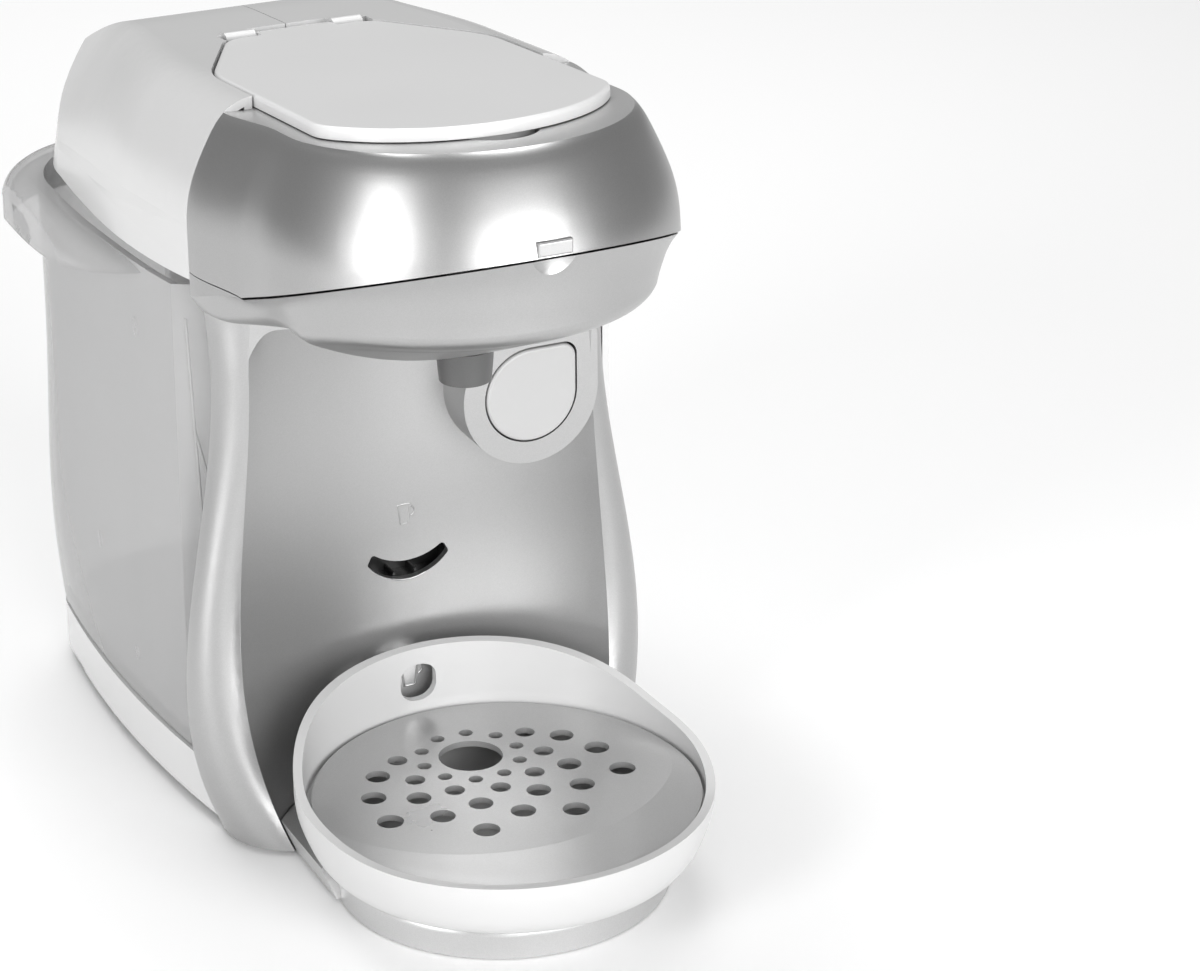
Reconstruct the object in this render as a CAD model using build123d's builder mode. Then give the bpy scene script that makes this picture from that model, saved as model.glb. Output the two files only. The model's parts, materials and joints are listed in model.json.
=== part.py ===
from build123d import *
from math import atan, cos, radians, sqrt, tan
import os

os.makedirs("parts", exist_ok=True)

# Toy coffee maker. The origin lies on the floor under the middle of the footprint; the front faces -Y.

seam_gap = 0.3  # visible joint between two shells
fit_gap = 0.3  # clearance between still pieces
slide_gap = 0.5  # clearance beside a piece that is taken off
pin_gap = 0.05  # running clearance round a pin or piston
over = 1.0  # how far a cut runs past a face
shell_t = 2.2

# Upper body: one smooth block that the head cover, the white housings and the front share.
# Its roof falls to the rear; sizes along the roof are measured from the plane's origin.
head_axis_y = -59.0  # upright axis through the spout and the round head
head_r = 62.0  # round head, and half the width of the upper body
roof_y = -56.0  # origin of the roof's plane
crown_z = 218.2  # height of the roof at its origin
crown_slope = 0.105
crown_flat = 40.0  # half-width of the flat roof
crown_mid_x = 55.5
crown_mid_drop = 11.0
crown_side_drop = 33.0  # depth at which the side turns upright
crown_flare = 22.0  # spread of the trimming block below the roof's shoulders
crown_low = 230.0
body_front_y = -19.0  # joint between the silver front and the white body
body_corner_y = 120.0
body_rear_y = 132.0
body_corner_r = 27.0
body_mid_y = 72.0
body_top_w = 62.0
body_belly_w = 66.5  # widest, at the foot and amidships
body_top_belly = 0.4  # slight bulge of the sides under the roof
body_foot_w = 61.0
roof_rear_r = 32.0

# Head
part_z = 168.0  # parting line along the head's sides
part_bend_y = -45.0
part_slope = 0.36
bowl_z = 150.5
bowl_bend_y = -67.0
bowl_bend_r = 25.0
bowl_slope = 0.44
bowl_edge_r = 5.0
bottom_share = 0.8  # share of a face's normal that points down where it belongs to the bottom
# The dish draws in under the parting line: depth under the line, and how far its wall has drawn in.
draw_depths = (0.0, 6.0, 13.0, 30.0)
draw_ins = (0.0, 3.0, 5.8, 8.0)
rim_drop = 3.6  # the silver rim lies this far under the roof
tab_w = 10.0
tab_h = 4.0
tab_t = 1.2
tab_edge_r = 0.5
scoop_r = 14.0
scoop_deep = 2.2
scoop_drop = 1.4  # from the parting line down to the scoop's centre
notch_r = 10.5
notch_reach = 5.0
notch_deep = 3.0

# Lid and its hinge
lid_half_w = 41.5
lid_front = -33.0
lid_front_r = 46.0
lid_front_corner_r = 15.0
lid_rear = 112.5
lid_rear_half_w = 22.0
lid_shoulder = 70.0
lid_shoulder_r = 40.0
lid_rear_corner_r = 9.0
lid_t = 3.3
lid_edge_r = 1.2
lid_gap = 0.7
opening_inset = 5.0
lid_wall_inset = 5.8
lid_wall_t = 1.6
lid_wall_h = 4.5
pocket_drop = 9.6  # floor of the lid's pocket under the roof
hinge_at = 118.0
hinge_drop = 3.4
barrel_r = 3.1
barrel_half_w = 11.4
barrel_gap = 0.7
knuckle_r = 4.2
knuckle_w = 9.0
knuckle_gap = 0.4
pin_r = 1.3
pin_end = 1.0

# Pod seat under the lid
seat_r = 28.5
seat_step_r = 24.0
seat_deep = 12.0
seat_step = 3.0
seat_t = 2.0
seat_inset = 2.6

# Front housing: half-widths of the column and of its flanges, from the foot up
foot_z, foot_w, foot_crest_w = 1.0, 60.5, 48.0
hip_z, hip_w, hip_crest_w = 48.0, 69.0, 56.0
waist_z, waist_w, waist_crest_w = 116.0, 59.0, 51.6
shoulder_z, shoulder_w, shoulder_crest_w = 168.0, 62.0, 52.5
crest_y = -29.0  # foremost line of the flanges
foot_crest_y = -43.0
skin_in = 1.8  # the flange's skin bulges through here
skin_share = 0.6
face_half_w = 46.0  # half-width of the hollow face where it reaches behind the joint
recess_reach = 30.0
recess_y = -14.5  # deepest line of the hollow column face
recess_z = 149.0
recess_corner_r = 12.0
column_back_y = -9.0
slot_half_w = 12.5
slot_dip = 6.5  # sag of the slot's lower edge
slot_top_half_w = 10.8
slot_top_dip = 4.0
slot_end_h = 3.2
slot_end_r = 1.0
slot_z = 70.0  # height of the slot's lower corners
insert_room = 0.6  # from the slot's edge to the insert's inner wall
insert_y = -12.0
insert_len = 8.0
insert_wall = 1.2
hook_slot_z = 31.0

# Button and its collar
button_x = 32.5
button_z = 119.5
button_r = 13.6
button_corner_r = 4.0
button_y = -30.2  # face of the button at rest
button_t = 3.0
button_gap = 0.5
button_edge_r = 0.8
collar_wall = 6.4
collar_y = -29.6
collar_corner_r = 6.0
collar_len = 16.0
stem_r = 4.0
stem_in = 3.0  # how far the stem plugs into the piston
button_skirt = 17.0
button_wall = 1.6
stop_w = 1.5
stop_t = 1.5

# Pump behind the button
pump_r = 11.0
pump_wall = 2.0
pump_y = 2.0  # mouth of the cylinder
pump_len = 38.0
pump_end_t = 3.0
piston_t = 6.0
seal_r = 1.0
piston_y = 6.0
spring_r = 7.5
spring_wire_r = 0.7
spring_turns = 6
port_r = 3.2
port_bore_r = 1.4
port_len = 8.0
port_z = 5.0  # from the cylinder's end wall to the ports' axis
valve_r = 5.4
valve_len = 18.0
valve_grip = 6.0  # length of port inside the valve
valve_room = 7.0
ball_r = 2.4
ball_gap = 0.6
hose_wall = 1.2
rib_t = 2.0
rib_ys = (8.0, 22.0)
rib_h = 17.0

# Posts for the screws that join the halves, as places along Y and Z
post_places = ((105.0, 45.0), (105.0, 135.0), (62.0, 148.0))

# Tank bay: lower edge of the white housing over the tank
bay_front_z = 166.0
bay_mid_z = 158.5
bay_rear_z = 163.4
block_drop = 10.0  # depth of the hinge's block under its axis

# Spout
spout_tip_r = 7.1
spout_root_r = 7.9
spout_neck_r = 7.4
spout_z = 141.0
spout_flange_r = 9.5
spout_pad_t = 1.2  # flat pad inside the dish that the spout's flange sits on
spout_bore_r = 2.4

# Water tank
tank_front_y = -13.0
tank_z = 19.6
tank_gap = 4.0  # from the tank's top edge to the housing over it
tank_t = 2.0
tank_chamfer = 8.0
lip_out = 9.2  # overhang of the grip along the tank's side
lip_rear_out = 11.0
lip_front_in = 5.0  # the grip fades into the wall at the front
lip_r = 8.0
lip_start_y = -14.0
lip_start_z = 165.0
lip_drop = 0.3  # slope of the grip's lower edge at the front
lip_dip_y = 98.0
lip_dip_z = 140.5
lip_rear_z = 142.0
outlet_y = 8.0
outlet_z = 31.0
outlet_r = 4.0
outlet_bore_r = 2.0
outlet_len = 9.0
socket_wall = 3.2
socket_len = 9.0
tank_seal_t = 1.15
tank_seal_w = 2.0
inlet_bend_x = 20.0  # corners of the hoses' routes
inlet_bend_z = 45.0
outlet_bend_z = 180.0
bend_share = 0.45  # share of a run that its arc takes

# Base
base_top_z = 19.0
base_z = 1.5
base_out = 1.0
base_edge_r = 4.0
plate_t = 2.0
base_t = 2.4
pad_r = 7.0
pad_t = 2.2
pad_x = 44.0
pad_front_y = 2.0
pad_rear_y = 104.0
post_x = 50.0  # posts for the base's screws
post_front_y = 20.0
post_rear_y = 86.0
post_t = 4.0  # thickness of the bottom plate round a screw
screw_r = 1.5
screw_head_r = 3.0
screw_head_t = 1.8
screw_len = 12.0
boss_r = 4.0

# Drip tray
tray_gap = 7.5  # from the column's hollow to the bowl's rear
ring_back = 4.0  # the ring stands this far behind the bowl's axis
upright_w = 44.0
upright_z = 49.0
upright_t = 2.4
upright_corner_r = 8.0
hook_len = 9.0
ring_out = 4.5  # the ring stands out from the bowl's foot
ring_h = 9.4
ring_edge_r = 2.8
ring_t = 2.2
bowl_r = 60.0
bowl_foot_in = 18.0
bowl_knee_in = 3.0
bowl_knee_z = 20.0
bowl_wall = 2.6
bowl_floor_t = 2.2
rim_front_z = 29.0
rim_rear_z = 53.0
window_x = -2.0
window_w = 11.6
window_h = 12.8
window_z = 36.0
window_corner_r = 5.2
rim_span = 22.0  # from the bowl's axis to the points that shape its rim
rim_side_z = 42.0
rim_rear_slope = 0.15
ledge_w = 2.2
ledge_t = 2.0
grille_in = 4.5  # the grille's edge lies this far inside the bowl's rim
grille_z = 26.6
grille_t = 1.8
drain_back = 25.0  # the large hole lies this far behind the bowl's axis
drain_r = 9.0
drain_rings = (14.0, 20.5, 28.0, 35.5, 43.0)
drain_hole_rs = (2.0, 2.8, 3.4, 3.5, 3.7)
drain_counts = (10, 7, 6, 5, 4)
drain_step = 36.0
crescent_back = 27.0
crescent_r = 58.0
crescent_rise = 0.07  # slope of the grille's front crescent

head_front_y = head_axis_y - head_r
scoop_y = head_front_y - scoop_r + scoop_deep
scoop_z = part_z + part_slope * (part_bend_y - head_front_y) - scoop_drop
tray_axis_y = recess_y - tray_gap - bowl_r
ring_axis_y = tray_axis_y + ring_back
bowl_foot_r = bowl_r - bowl_foot_in
bowl_knee_r = bowl_r - bowl_knee_in
ring_r = bowl_foot_r + ring_out
grille_r = bowl_r - grille_in
insert_half_w = slot_half_w + insert_room + insert_wall
bay_x = -insert_half_w - fit_gap - shell_t  # face of the wall beside the tank
tank_inner_x = bay_x - slide_gap
roof = Plane(origin=(0, roof_y, crown_z), x_dir=(1, 0, 0), z_dir=(0, crown_slope, 1))
section = Plane(origin=roof.origin, x_dir=(1, 0, 0), z_dir=-roof.y_dir)
roof_cos = cos(atan(crown_slope))
parting_plane = Plane(origin=(0, part_bend_y, part_z), x_dir=(1, 0, 0), z_dir=(0, part_slope, 1))
run = 260.0

# looks along +Y, with X to the right and Z up
facing = Plane(origin=(0, 0, 0), x_dir=(1, 0, 0), z_dir=(0, -1, 0))

# across the hinge: its first axis runs to the rear along the roof, its second stands off the roof
hinge_origin = roof.origin + roof.y_dir * hinge_at - roof.z_dir * hinge_drop
hinge_plane = Plane(origin=hinge_origin, x_dir=roof.y_dir, z_dir=(1, 0, 0))


def crown(inset=0.0, flare=0.0):
    # half section of the roof, from its middle out to the side
    side = head_r - inset
    with BuildSketch() as face:
        with BuildLine():
            Line((0, -inset), (crown_flat, -inset))
            Spline(
                (crown_flat, -inset),
                (crown_mid_x - inset * roof_cos, -crown_mid_drop - inset),
                (side, -crown_side_drop),
                tangents=((1, 0), (0, -1)),
            )
            Polyline((side, -crown_side_drop), (side + flare, -crown_low), (0, -crown_low), (0, -inset))
        make_face()
    return face.sketch


def plan_outline(widths, front, corner_y, rear_y, corner_r):
    # widths are half-widths at the front, amidships and at the rear corners
    front_w, mid_w, rear_w = widths
    with BuildSketch() as face:
        with BuildLine():
            ThreePointArc((front_w, front), (mid_w, body_mid_y), (rear_w, corner_y))
            ThreePointArc((rear_w, corner_y), (0, rear_y), (-rear_w, corner_y))
            ThreePointArc((-rear_w, corner_y), (-mid_w, body_mid_y), (-front_w, front))
            Line((-front_w, front), (front_w, front))
        make_face()
        fillet(face.vertices().group_by(Axis.Y)[-1], corner_r)
    return face.sketch


def body_plan(inset=0.0, foot=0.0, front=body_front_y):
    # plan of the white body; foot runs from 0 at the roof to 1 at the base
    front_w = body_top_w + foot * (body_foot_w - body_top_w) - inset
    top_mid_w = body_top_w + body_top_belly
    mid_w = top_mid_w + foot * (body_belly_w - top_mid_w) - inset
    widths = (front_w, mid_w, body_top_w - inset)
    return plan_outline(widths, front, body_corner_y, body_rear_y - inset, body_corner_r - inset)


def lower_block(inset=0.0, front=body_front_y, low=base_top_z):
    with BuildPart() as block:
        with BuildSketch(Plane.XY.offset(low)):
            add(body_plan(inset, 1.0, front))
        with BuildSketch(Plane.XY.offset(part_z)):
            add(body_plan(inset, 0.0, front))
        loft(ruled=True)
    return block.part


def body_block(inset=0.0, front=body_front_y, low=base_top_z):
    with BuildPart() as block:
        add(lower_block(inset, front, low))
        with BuildSketch(Plane.XY.offset(part_z)):
            add(body_plan(inset, 0.0, front))
        extrude(amount=crown_z - part_z + over)
        with BuildSketch(section):
            add(crown(inset, crown_flare))
            mirror(about=Plane.YZ)
        extrude(amount=-run, mode=Mode.INTERSECT)
        roof_rear = crown_z - crown_slope * (body_rear_y - roof_y) - inset
        roof_front = crown_z - crown_slope * (front - roof_y) - inset
        with BuildSketch(Plane.YZ) as side:
            with BuildLine():
                Polyline(
                    (front - over, 0),
                    (body_rear_y - inset, 0),
                    (body_rear_y - inset, roof_rear),
                    (front - over, roof_front + crown_slope * over),
                    close=True,
                )
            make_face()
            fillet(side.vertices().sort_by(Axis.Y)[-2:].sort_by(Axis.X)[-1], roof_rear_r - inset)
        extrude(amount=run, both=True, mode=Mode.INTERSECT)
    return block.part


def lid_outline(grow=0.0):
    # plan of the lid, measured along the roof
    arc_at = lid_front + lid_front_r
    side_at = arc_at - sqrt(lid_front_r**2 - lid_half_w**2)
    with BuildSketch() as face:
        with BuildLine():
            ThreePointArc((-lid_half_w, side_at), (0, lid_front), (lid_half_w, side_at))
            Polyline(
                (lid_half_w, side_at),
                (lid_half_w, lid_shoulder),
                (lid_rear_half_w, lid_rear),
                (-lid_rear_half_w, lid_rear),
                (-lid_half_w, lid_shoulder),
                (-lid_half_w, side_at),
            )
        make_face()
        fillet(face.vertices().group_by(Axis.Y)[-1], lid_rear_corner_r)
        shoulders = face.vertices().filter_by_position(Axis.Y, lid_shoulder - over, lid_shoulder + over)
        fillet(shoulders, lid_shoulder_r)
        fillet(face.vertices().filter_by_position(Axis.Y, side_at - over, side_at + over), lid_front_corner_r)
        if grow:
            offset(amount=grow)
    return face.sketch


def parting(rise=0.0):
    # side view of what lies under the head's parting line
    front = head_axis_y - 2 * head_r
    front_rise = part_slope * (part_bend_y - front)
    with BuildSketch() as face:
        with BuildLine():
            Polyline(
                (-body_front_y, -run),
                (-body_front_y, part_z + rise),
                (part_bend_y, part_z + rise),
                (front, part_z + front_rise + rise),
                (front, -run),
                close=True,
            )
        make_face()
    return face.sketch


def head_block(inset=0.0, drop=0.0):
    # round head, with its roof sloping to the rear and straight sides up to the body
    with BuildPart() as block:
        with BuildSketch(section):
            add(crown(inset))
        revolve(axis=Axis(roof.origin, roof.z_dir))
        with BuildSketch(section):
            add(crown(inset))
            mirror(about=Plane.YZ)
        extrude(amount=-run)
        if drop:
            with BuildSketch(roof.offset(-drop)):
                Rectangle(2 * run, 2 * run)
            extrude(amount=drop + over, mode=Mode.SUBTRACT)
    return block.part


def bowl_side(inset=0.0):
    # side view of the head's lower dish, flat round the spout and rising to the front
    low = bowl_z + inset
    front = head_axis_y - 2 * head_r
    with BuildSketch() as face:
        with BuildLine():
            Polyline(
                (run, low),
                (bowl_bend_y, low),
                (front, low + bowl_slope * (bowl_bend_y - front)),
                (front, crown_z),
                (run, crown_z),
                close=True,
            )
        make_face()
        fillet(face.vertices().sort_by_distance((bowl_bend_y, low))[0], bowl_bend_r)
    return face.sketch


def drawn_block(inset=0.0):
    # the head under its parting plane, where the wall draws in as it goes down
    lean = roof.z_dir.dot(parting_plane.z_dir)
    with BuildPart() as block:
        for depth, draw_in in zip(draw_depths, draw_ins):
            half = head_r - draw_in - inset
            level = parting_plane.offset(-depth)
            down = (level.origin - roof.origin).dot(level.z_dir) / lean
            centre = level.to_local_coords(roof.origin + roof.z_dir * down)
            with BuildSketch(level):
                with Locations((0, centre.Y)):
                    Ellipse(half, half / lean)
                    Rectangle(2 * half, run, align=(Align.CENTER, Align.MIN))
        loft()
    return block.part


def bowl_block(inset=0.0):
    # the head down to its lower dish
    with BuildPart() as block:
        add(head_block(inset))
        with BuildSketch(parting_plane):
            Rectangle(2 * run, 4 * run)
        extrude(amount=-run, mode=Mode.SUBTRACT)
        add(drawn_block(inset))
        with BuildSketch(Plane.YZ):
            add(bowl_side(inset))
        extrude(amount=run, both=True, mode=Mode.INTERSECT)
        # round the rim of the bottom, but not the far end, which is cut off later
        bottom = block.faces().filter_by(lambda face: face.normal_at().Z < -bottom_share)
        fillet(bottom.edges().filter_by(Axis.X, reverse=True), bowl_edge_r - inset)
    return block.part


column_stations = (
    (foot_z, foot_w, foot_crest_w, foot_crest_y),
    (hip_z, hip_w, hip_crest_w, crest_y),
    (waist_z, waist_w, waist_crest_w, crest_y),
    (shoulder_z, shoulder_w, shoulder_crest_w, crest_y),
)


def column_block(inset=0.0):
    # the column between its flanges' skins, before the face is hollowed
    with BuildPart() as block:
        for height, half_w, crest_w, front in column_stations:
            skin_x = half_w - skin_in - inset
            skin_y = body_front_y + skin_share * (front - body_front_y)
            with BuildSketch(Plane.XY.offset(height)):
                with BuildLine():
                    Polyline(
                        (half_w - inset, body_front_y),
                        (half_w - inset, column_back_y),
                        (inset - half_w, column_back_y),
                        (inset - half_w, body_front_y),
                    )
                    crest = front + inset
                    ThreePointArc((inset - half_w, body_front_y), (-skin_x, skin_y), (-crest_w, crest))
                    Line((-crest_w, crest), (crest_w, crest))
                    ThreePointArc((crest_w, crest), (skin_x, skin_y), (half_w - inset, body_front_y))
                make_face()
        loft()
    return block.part


def recess_block(grow=0.0, top=recess_z, corner_r=0.0):
    # the hollow of the column's face, grown or shrunk all round, with its upper corners rounded
    with BuildPart() as block:
        for height, half_w, crest_w, front in column_stations:
            half = crest_w + grow
            reach = front - recess_reach
            with BuildSketch(Plane.XY.offset(height)):
                with BuildLine():
                    ThreePointArc((-half, front), (0, recess_y + grow), (half, front))
                    Polyline((half, front), (half, reach), (-half, reach), (-half, front))
                make_face()
        loft()
        with BuildSketch(Plane.XY.offset(top)):
            Rectangle(2 * run, 2 * run)
        extrude(amount=run, mode=Mode.SUBTRACT)
        if corner_r:
            half = shoulder_crest_w + grow
            low = top - 2 * corner_r
            with BuildSketch(facing) as front_view:
                with BuildLine():
                    Polyline((-run, 0), (-run, low), (-half, low), (-half, top), (half, top), (half, low))
                    Polyline((half, low), (run, low), (run, 0), (-run, 0))
                make_face()
                fillet(front_view.vertices().group_by(Axis.Y)[-1], corner_r)
            extrude(amount=run, both=True, mode=Mode.INTERSECT)
    return block.part


def d_shape(radius, corner):
    # round, with its upper right quarter squared off
    with BuildSketch() as face:
        Circle(radius)
        Rectangle(radius, radius, align=(Align.MIN, Align.MIN))
        fillet(face.vertices().sort_by_distance((radius, radius))[0], corner)
    return face.sketch


def smile(height, grow=0.0):
    # upturned crescent slot, centred on the column; height is that of its lower corners
    top = height + slot_end_h
    with BuildSketch() as face:
        with BuildLine():
            ThreePointArc((-slot_half_w, height), (0, height - slot_dip), (slot_half_w, height))
            Line((slot_half_w, height), (slot_top_half_w, top))
            ThreePointArc((slot_top_half_w, top), (0, top - slot_top_dip), (-slot_top_half_w, top))
            Line((-slot_top_half_w, top), (-slot_half_w, height))
        make_face()
        fillet(face.vertices(), slot_end_r)
        if grow:
            offset(amount=grow)
    return face.sketch


def upright_block():
    # the tray's upright plate, curved to the hollow of the column
    with BuildPart() as plate:
        add(recess_block(-slide_gap, upright_z))
        add(recess_block(-slide_gap - upright_t, upright_z + over), mode=Mode.SUBTRACT)
        with BuildSketch(facing):
            RectangleRounded(upright_w, 2 * upright_z, upright_corner_r)
        extrude(amount=run, both=True, mode=Mode.INTERSECT)
    return plate.part


def tray_bowl_block(wall=0.0, floor=0.0):
    with BuildPart() as block:
        with BuildSketch(Plane.XZ):
            with BuildLine():
                Line((0, ring_h + fit_gap + floor), (bowl_foot_r - wall, ring_h + fit_gap + floor))
                Spline(
                    (bowl_foot_r - wall, ring_h + fit_gap + floor),
                    (bowl_knee_r - wall, bowl_knee_z),
                    (bowl_r - wall, rim_front_z + over),
                    tangents=((1, 0), (0, 1)),
                )
                Polyline(
                    (bowl_r - wall, rim_front_z + over),
                    (bowl_r - wall, rim_rear_z + over),
                    (0, rim_rear_z + over),
                    (0, ring_h + fit_gap + floor),
                )
            make_face()
        revolve(axis=Axis.Z)
    return block.part


def finger_scoop():
    # wall behind the scoop under the tab
    with BuildPart() as wall:
        with Locations((0, scoop_y, scoop_z)):
            Sphere(scoop_r + shell_t)
        add(bowl_block(shell_t / 2), mode=Mode.INTERSECT)
        with BuildSketch(Plane.YZ):
            add(parting(-seam_gap / 2))
        extrude(amount=run, both=True, mode=Mode.INTERSECT)
    return wall.part


def thumb_tab():
    # small grip on the cover's front, over the parting line
    tab_z = part_z + part_slope * (part_bend_y - head_front_y) + seam_gap
    with BuildPart() as tab:
        with Locations((0, head_front_y, tab_z)):
            Box(tab_w, tab_t + shell_t, tab_h, align=(Align.CENTER, Align.MIN, Align.MIN))
        fillet(tab.faces().sort_by(Axis.Y)[0].edges(), tab_edge_r)
    return tab.part


def bowl_shell():
    # the head's lower bowl, between the parting line and its own flat bottom
    with BuildPart() as shell:
        add(bowl_block())
        add(bowl_block(shell_t), mode=Mode.SUBTRACT)
        with BuildSketch(Plane.YZ):
            add(parting(-seam_gap / 2))
        extrude(amount=run, both=True, mode=Mode.INTERSECT)
        with BuildSketch(facing.offset(-body_front_y)):
            Rectangle(2 * run, 2 * run)
        extrude(amount=-run, mode=Mode.SUBTRACT)
    return shell.part


with BuildPart() as head_cover:
    add(head_block(drop=rim_drop))
    add(head_block(shell_t, rim_drop + shell_t), mode=Mode.SUBTRACT)
    with BuildSketch(roof.offset(-pocket_drop)):
        add(lid_outline(-opening_inset))
    extrude(amount=run, mode=Mode.SUBTRACT)
    # finger notch before the lid's front edge, with a floor of its own
    notch_at = lid_front - notch_reach + notch_r
    with BuildSketch(roof.offset(-rim_drop - notch_deep - shell_t)):
        with Locations((0, notch_at)):
            Circle(notch_r + shell_t)
        add(lid_outline(fit_gap - seat_inset), mode=Mode.SUBTRACT)
    extrude(amount=notch_deep + shell_t)
    with BuildSketch(roof):
        with Locations((0, notch_at)):
            Circle(notch_r)
    extrude(amount=-rim_drop - notch_deep, mode=Mode.SUBTRACT)
    # open below the parting line and behind the joint with the body
    with BuildSketch(Plane.YZ):
        add(parting(seam_gap / 2))
    extrude(amount=run, both=True, mode=Mode.SUBTRACT)
    with BuildSketch(facing.offset(-body_front_y)):
        Rectangle(2 * run, 2 * run)
    extrude(amount=-run, mode=Mode.SUBTRACT)
    add(thumb_tab())
head_cover.part.label = "head_cover"
export_step(head_cover.part, "parts/head_cover.step")

with BuildPart() as front_housing:
    add(column_block())
    add(column_block(shell_t), mode=Mode.SUBTRACT)
    add(recess_block(shell_t, recess_z + shell_t, recess_corner_r + shell_t) & column_block())
    add(recess_block(0, recess_z, recess_corner_r), mode=Mode.SUBTRACT)
    # the flanges end at the joint with the body, the hollow face reaches behind it
    with BuildSketch(Plane.XY.offset(foot_z - over)):
        with Locations((0, body_front_y + run / 2)):
            Rectangle(2 * run, run)
            Rectangle(2 * face_half_w, run, mode=Mode.SUBTRACT)
    extrude(amount=run, mode=Mode.SUBTRACT)
    # lower bowl of the head
    add(bowl_shell())
    # collar round the button, and its bore
    with BuildSketch(facing.offset(-collar_y)):
        with Locations((button_x, button_z)):
            add(d_shape(button_r + button_gap + collar_wall, collar_corner_r))
    extrude(amount=-collar_len)
    with BuildSketch(facing.offset(-collar_y + over)):
        with Locations((button_x, button_z)):
            add(d_shape(button_r + button_gap, button_corner_r))
    extrude(amount=-collar_len - 2 * over, mode=Mode.SUBTRACT)
    # hook slots of the tray
    with BuildSketch(facing):
        add(smile(slot_z))
        add(smile(hook_slot_z))
    extrude(amount=-crest_y, mode=Mode.SUBTRACT)
    # finger scoop under the cover's tab
    add(finger_scoop())
    with Locations((0, scoop_y, scoop_z)):
        Sphere(scoop_r, mode=Mode.SUBTRACT)
    # pad and hole for the spout
    with BuildSketch(Plane.XY.offset(bowl_z + shell_t / 2)):
        with Locations((0, head_axis_y)):
            Circle(spout_flange_r + fit_gap)
    extrude(amount=shell_t / 2 + spout_pad_t)
    with BuildSketch(Plane.XY.offset(bowl_z - over)):
        with Locations((0, head_axis_y)):
            Circle(spout_neck_r + fit_gap)
    extrude(amount=shell_t + spout_pad_t + 2 * over, mode=Mode.SUBTRACT)
front_housing.part.label = "front_housing"
export_step(front_housing.part, "parts/front_housing.step")

# White body: two halves that meet on the middle plane


def bay_side(grow=0.0):
    # side view of the tank's bay, with the housing's arched lower edge over it
    rear = body_rear_y + lip_rear_out + over
    with BuildSketch() as face:
        with BuildLine():
            ThreePointArc(
                (body_front_y - over, bay_front_z + grow),
                (body_mid_y, bay_mid_z + grow),
                (rear, bay_rear_z + grow),
            )
            Polyline(
                (rear, bay_rear_z + grow),
                (rear, 0),
                (body_front_y - over, 0),
                (body_front_y - over, bay_front_z + grow),
            )
        make_face()
    return face.sketch


def body_shell():
    # walls of the whole body, open at the front and below, with the lid's pocket and the tank's bay
    with BuildPart() as core:
        add(body_block(shell_t, body_front_y - over, base_top_z - over))
        with BuildSketch(roof.offset(-pocket_drop - shell_t)):
            add(lid_outline(lid_gap + shell_t))
        extrude(amount=run, mode=Mode.SUBTRACT)
        with BuildSketch(Plane.YZ.offset(bay_x + shell_t)):
            add(bay_side(shell_t))
        extrude(amount=-run, mode=Mode.SUBTRACT)
    with BuildPart() as shell:
        add(body_block())
        with BuildSketch(Plane.YZ.offset(bay_x)):
            add(bay_side())
        extrude(amount=-run, mode=Mode.SUBTRACT)
        add(core.part, mode=Mode.SUBTRACT)
        # pocket for the lid
        with BuildSketch(roof.offset(-pocket_drop)):
            add(lid_outline(lid_gap))
        extrude(amount=run, mode=Mode.SUBTRACT)
        # relief for the lid's rear edge as it swings
        with BuildSketch(hinge_plane.offset(-lid_rear_half_w - lid_gap)):
            Circle(hinge_at - lid_rear + 3 * lid_gap)
            Rectangle(run, run, align=(Align.MAX, Align.MIN), mode=Mode.INTERSECT)
        extrude(amount=2 * (lid_rear_half_w + lid_gap), mode=Mode.SUBTRACT)
        # knuckles that carry the hinge pin, and room for the lid's barrel behind the pocket
        knuckle_x = barrel_half_w + knuckle_gap + knuckle_w
        with BuildSketch(hinge_plane.offset(-knuckle_x)):
            Circle(knuckle_r)
            with Locations((0, -block_drop / 2)):
                Rectangle(2 * knuckle_r, block_drop)
        extrude(amount=2 * knuckle_x)
        with BuildSketch(hinge_plane.offset(-barrel_half_w - knuckle_gap)):
            Circle(barrel_r + barrel_gap)
            with Locations((barrel_r / 2, barrel_r)):
                Rectangle(barrel_r + 2 * barrel_gap + 2 * over, 2 * barrel_r)
            with Locations((-barrel_r, barrel_r)):
                Rectangle(2 * barrel_r, 4 * barrel_r)
        extrude(amount=2 * (barrel_half_w + knuckle_gap), mode=Mode.SUBTRACT)
        with BuildSketch(hinge_plane.offset(-knuckle_x + pin_end)):
            Circle(pin_r + pin_gap)
        extrude(amount=2 * (knuckle_x - pin_end), mode=Mode.SUBTRACT)
    return shell.part


body_walls = body_shell()


def pump_rib(at):
    # one rib that carries the pump, from the right wall to the middle of the body
    with BuildPart() as rib:
        with BuildSketch(facing.offset(-at)):
            with Locations((seam_gap / 2, button_z)):
                Rectangle(run, 2 * rib_h, align=(Align.MIN, Align.CENTER))
            with Locations((button_x, button_z)):
                Circle(pump_r + pump_wall + fit_gap, mode=Mode.SUBTRACT)
        extrude(amount=-rib_t)
        add(body_block(shell_t / 2), mode=Mode.INTERSECT)
    return rib.part


def joint_post(place):
    # post that carries one joining screw, from the middle of the body to the right wall
    with BuildPart() as post:
        with BuildSketch(Plane.YZ.offset(seam_gap / 2)):
            with Locations(place):
                Circle(boss_r)
        extrude(amount=run)
        add(body_block(shell_t / 2), mode=Mode.INTERSECT)
        with BuildSketch(Plane.YZ):
            with Locations(place):
                Circle(screw_r + pin_gap)
        extrude(amount=screw_len, mode=Mode.SUBTRACT)
    return post.part


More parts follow.
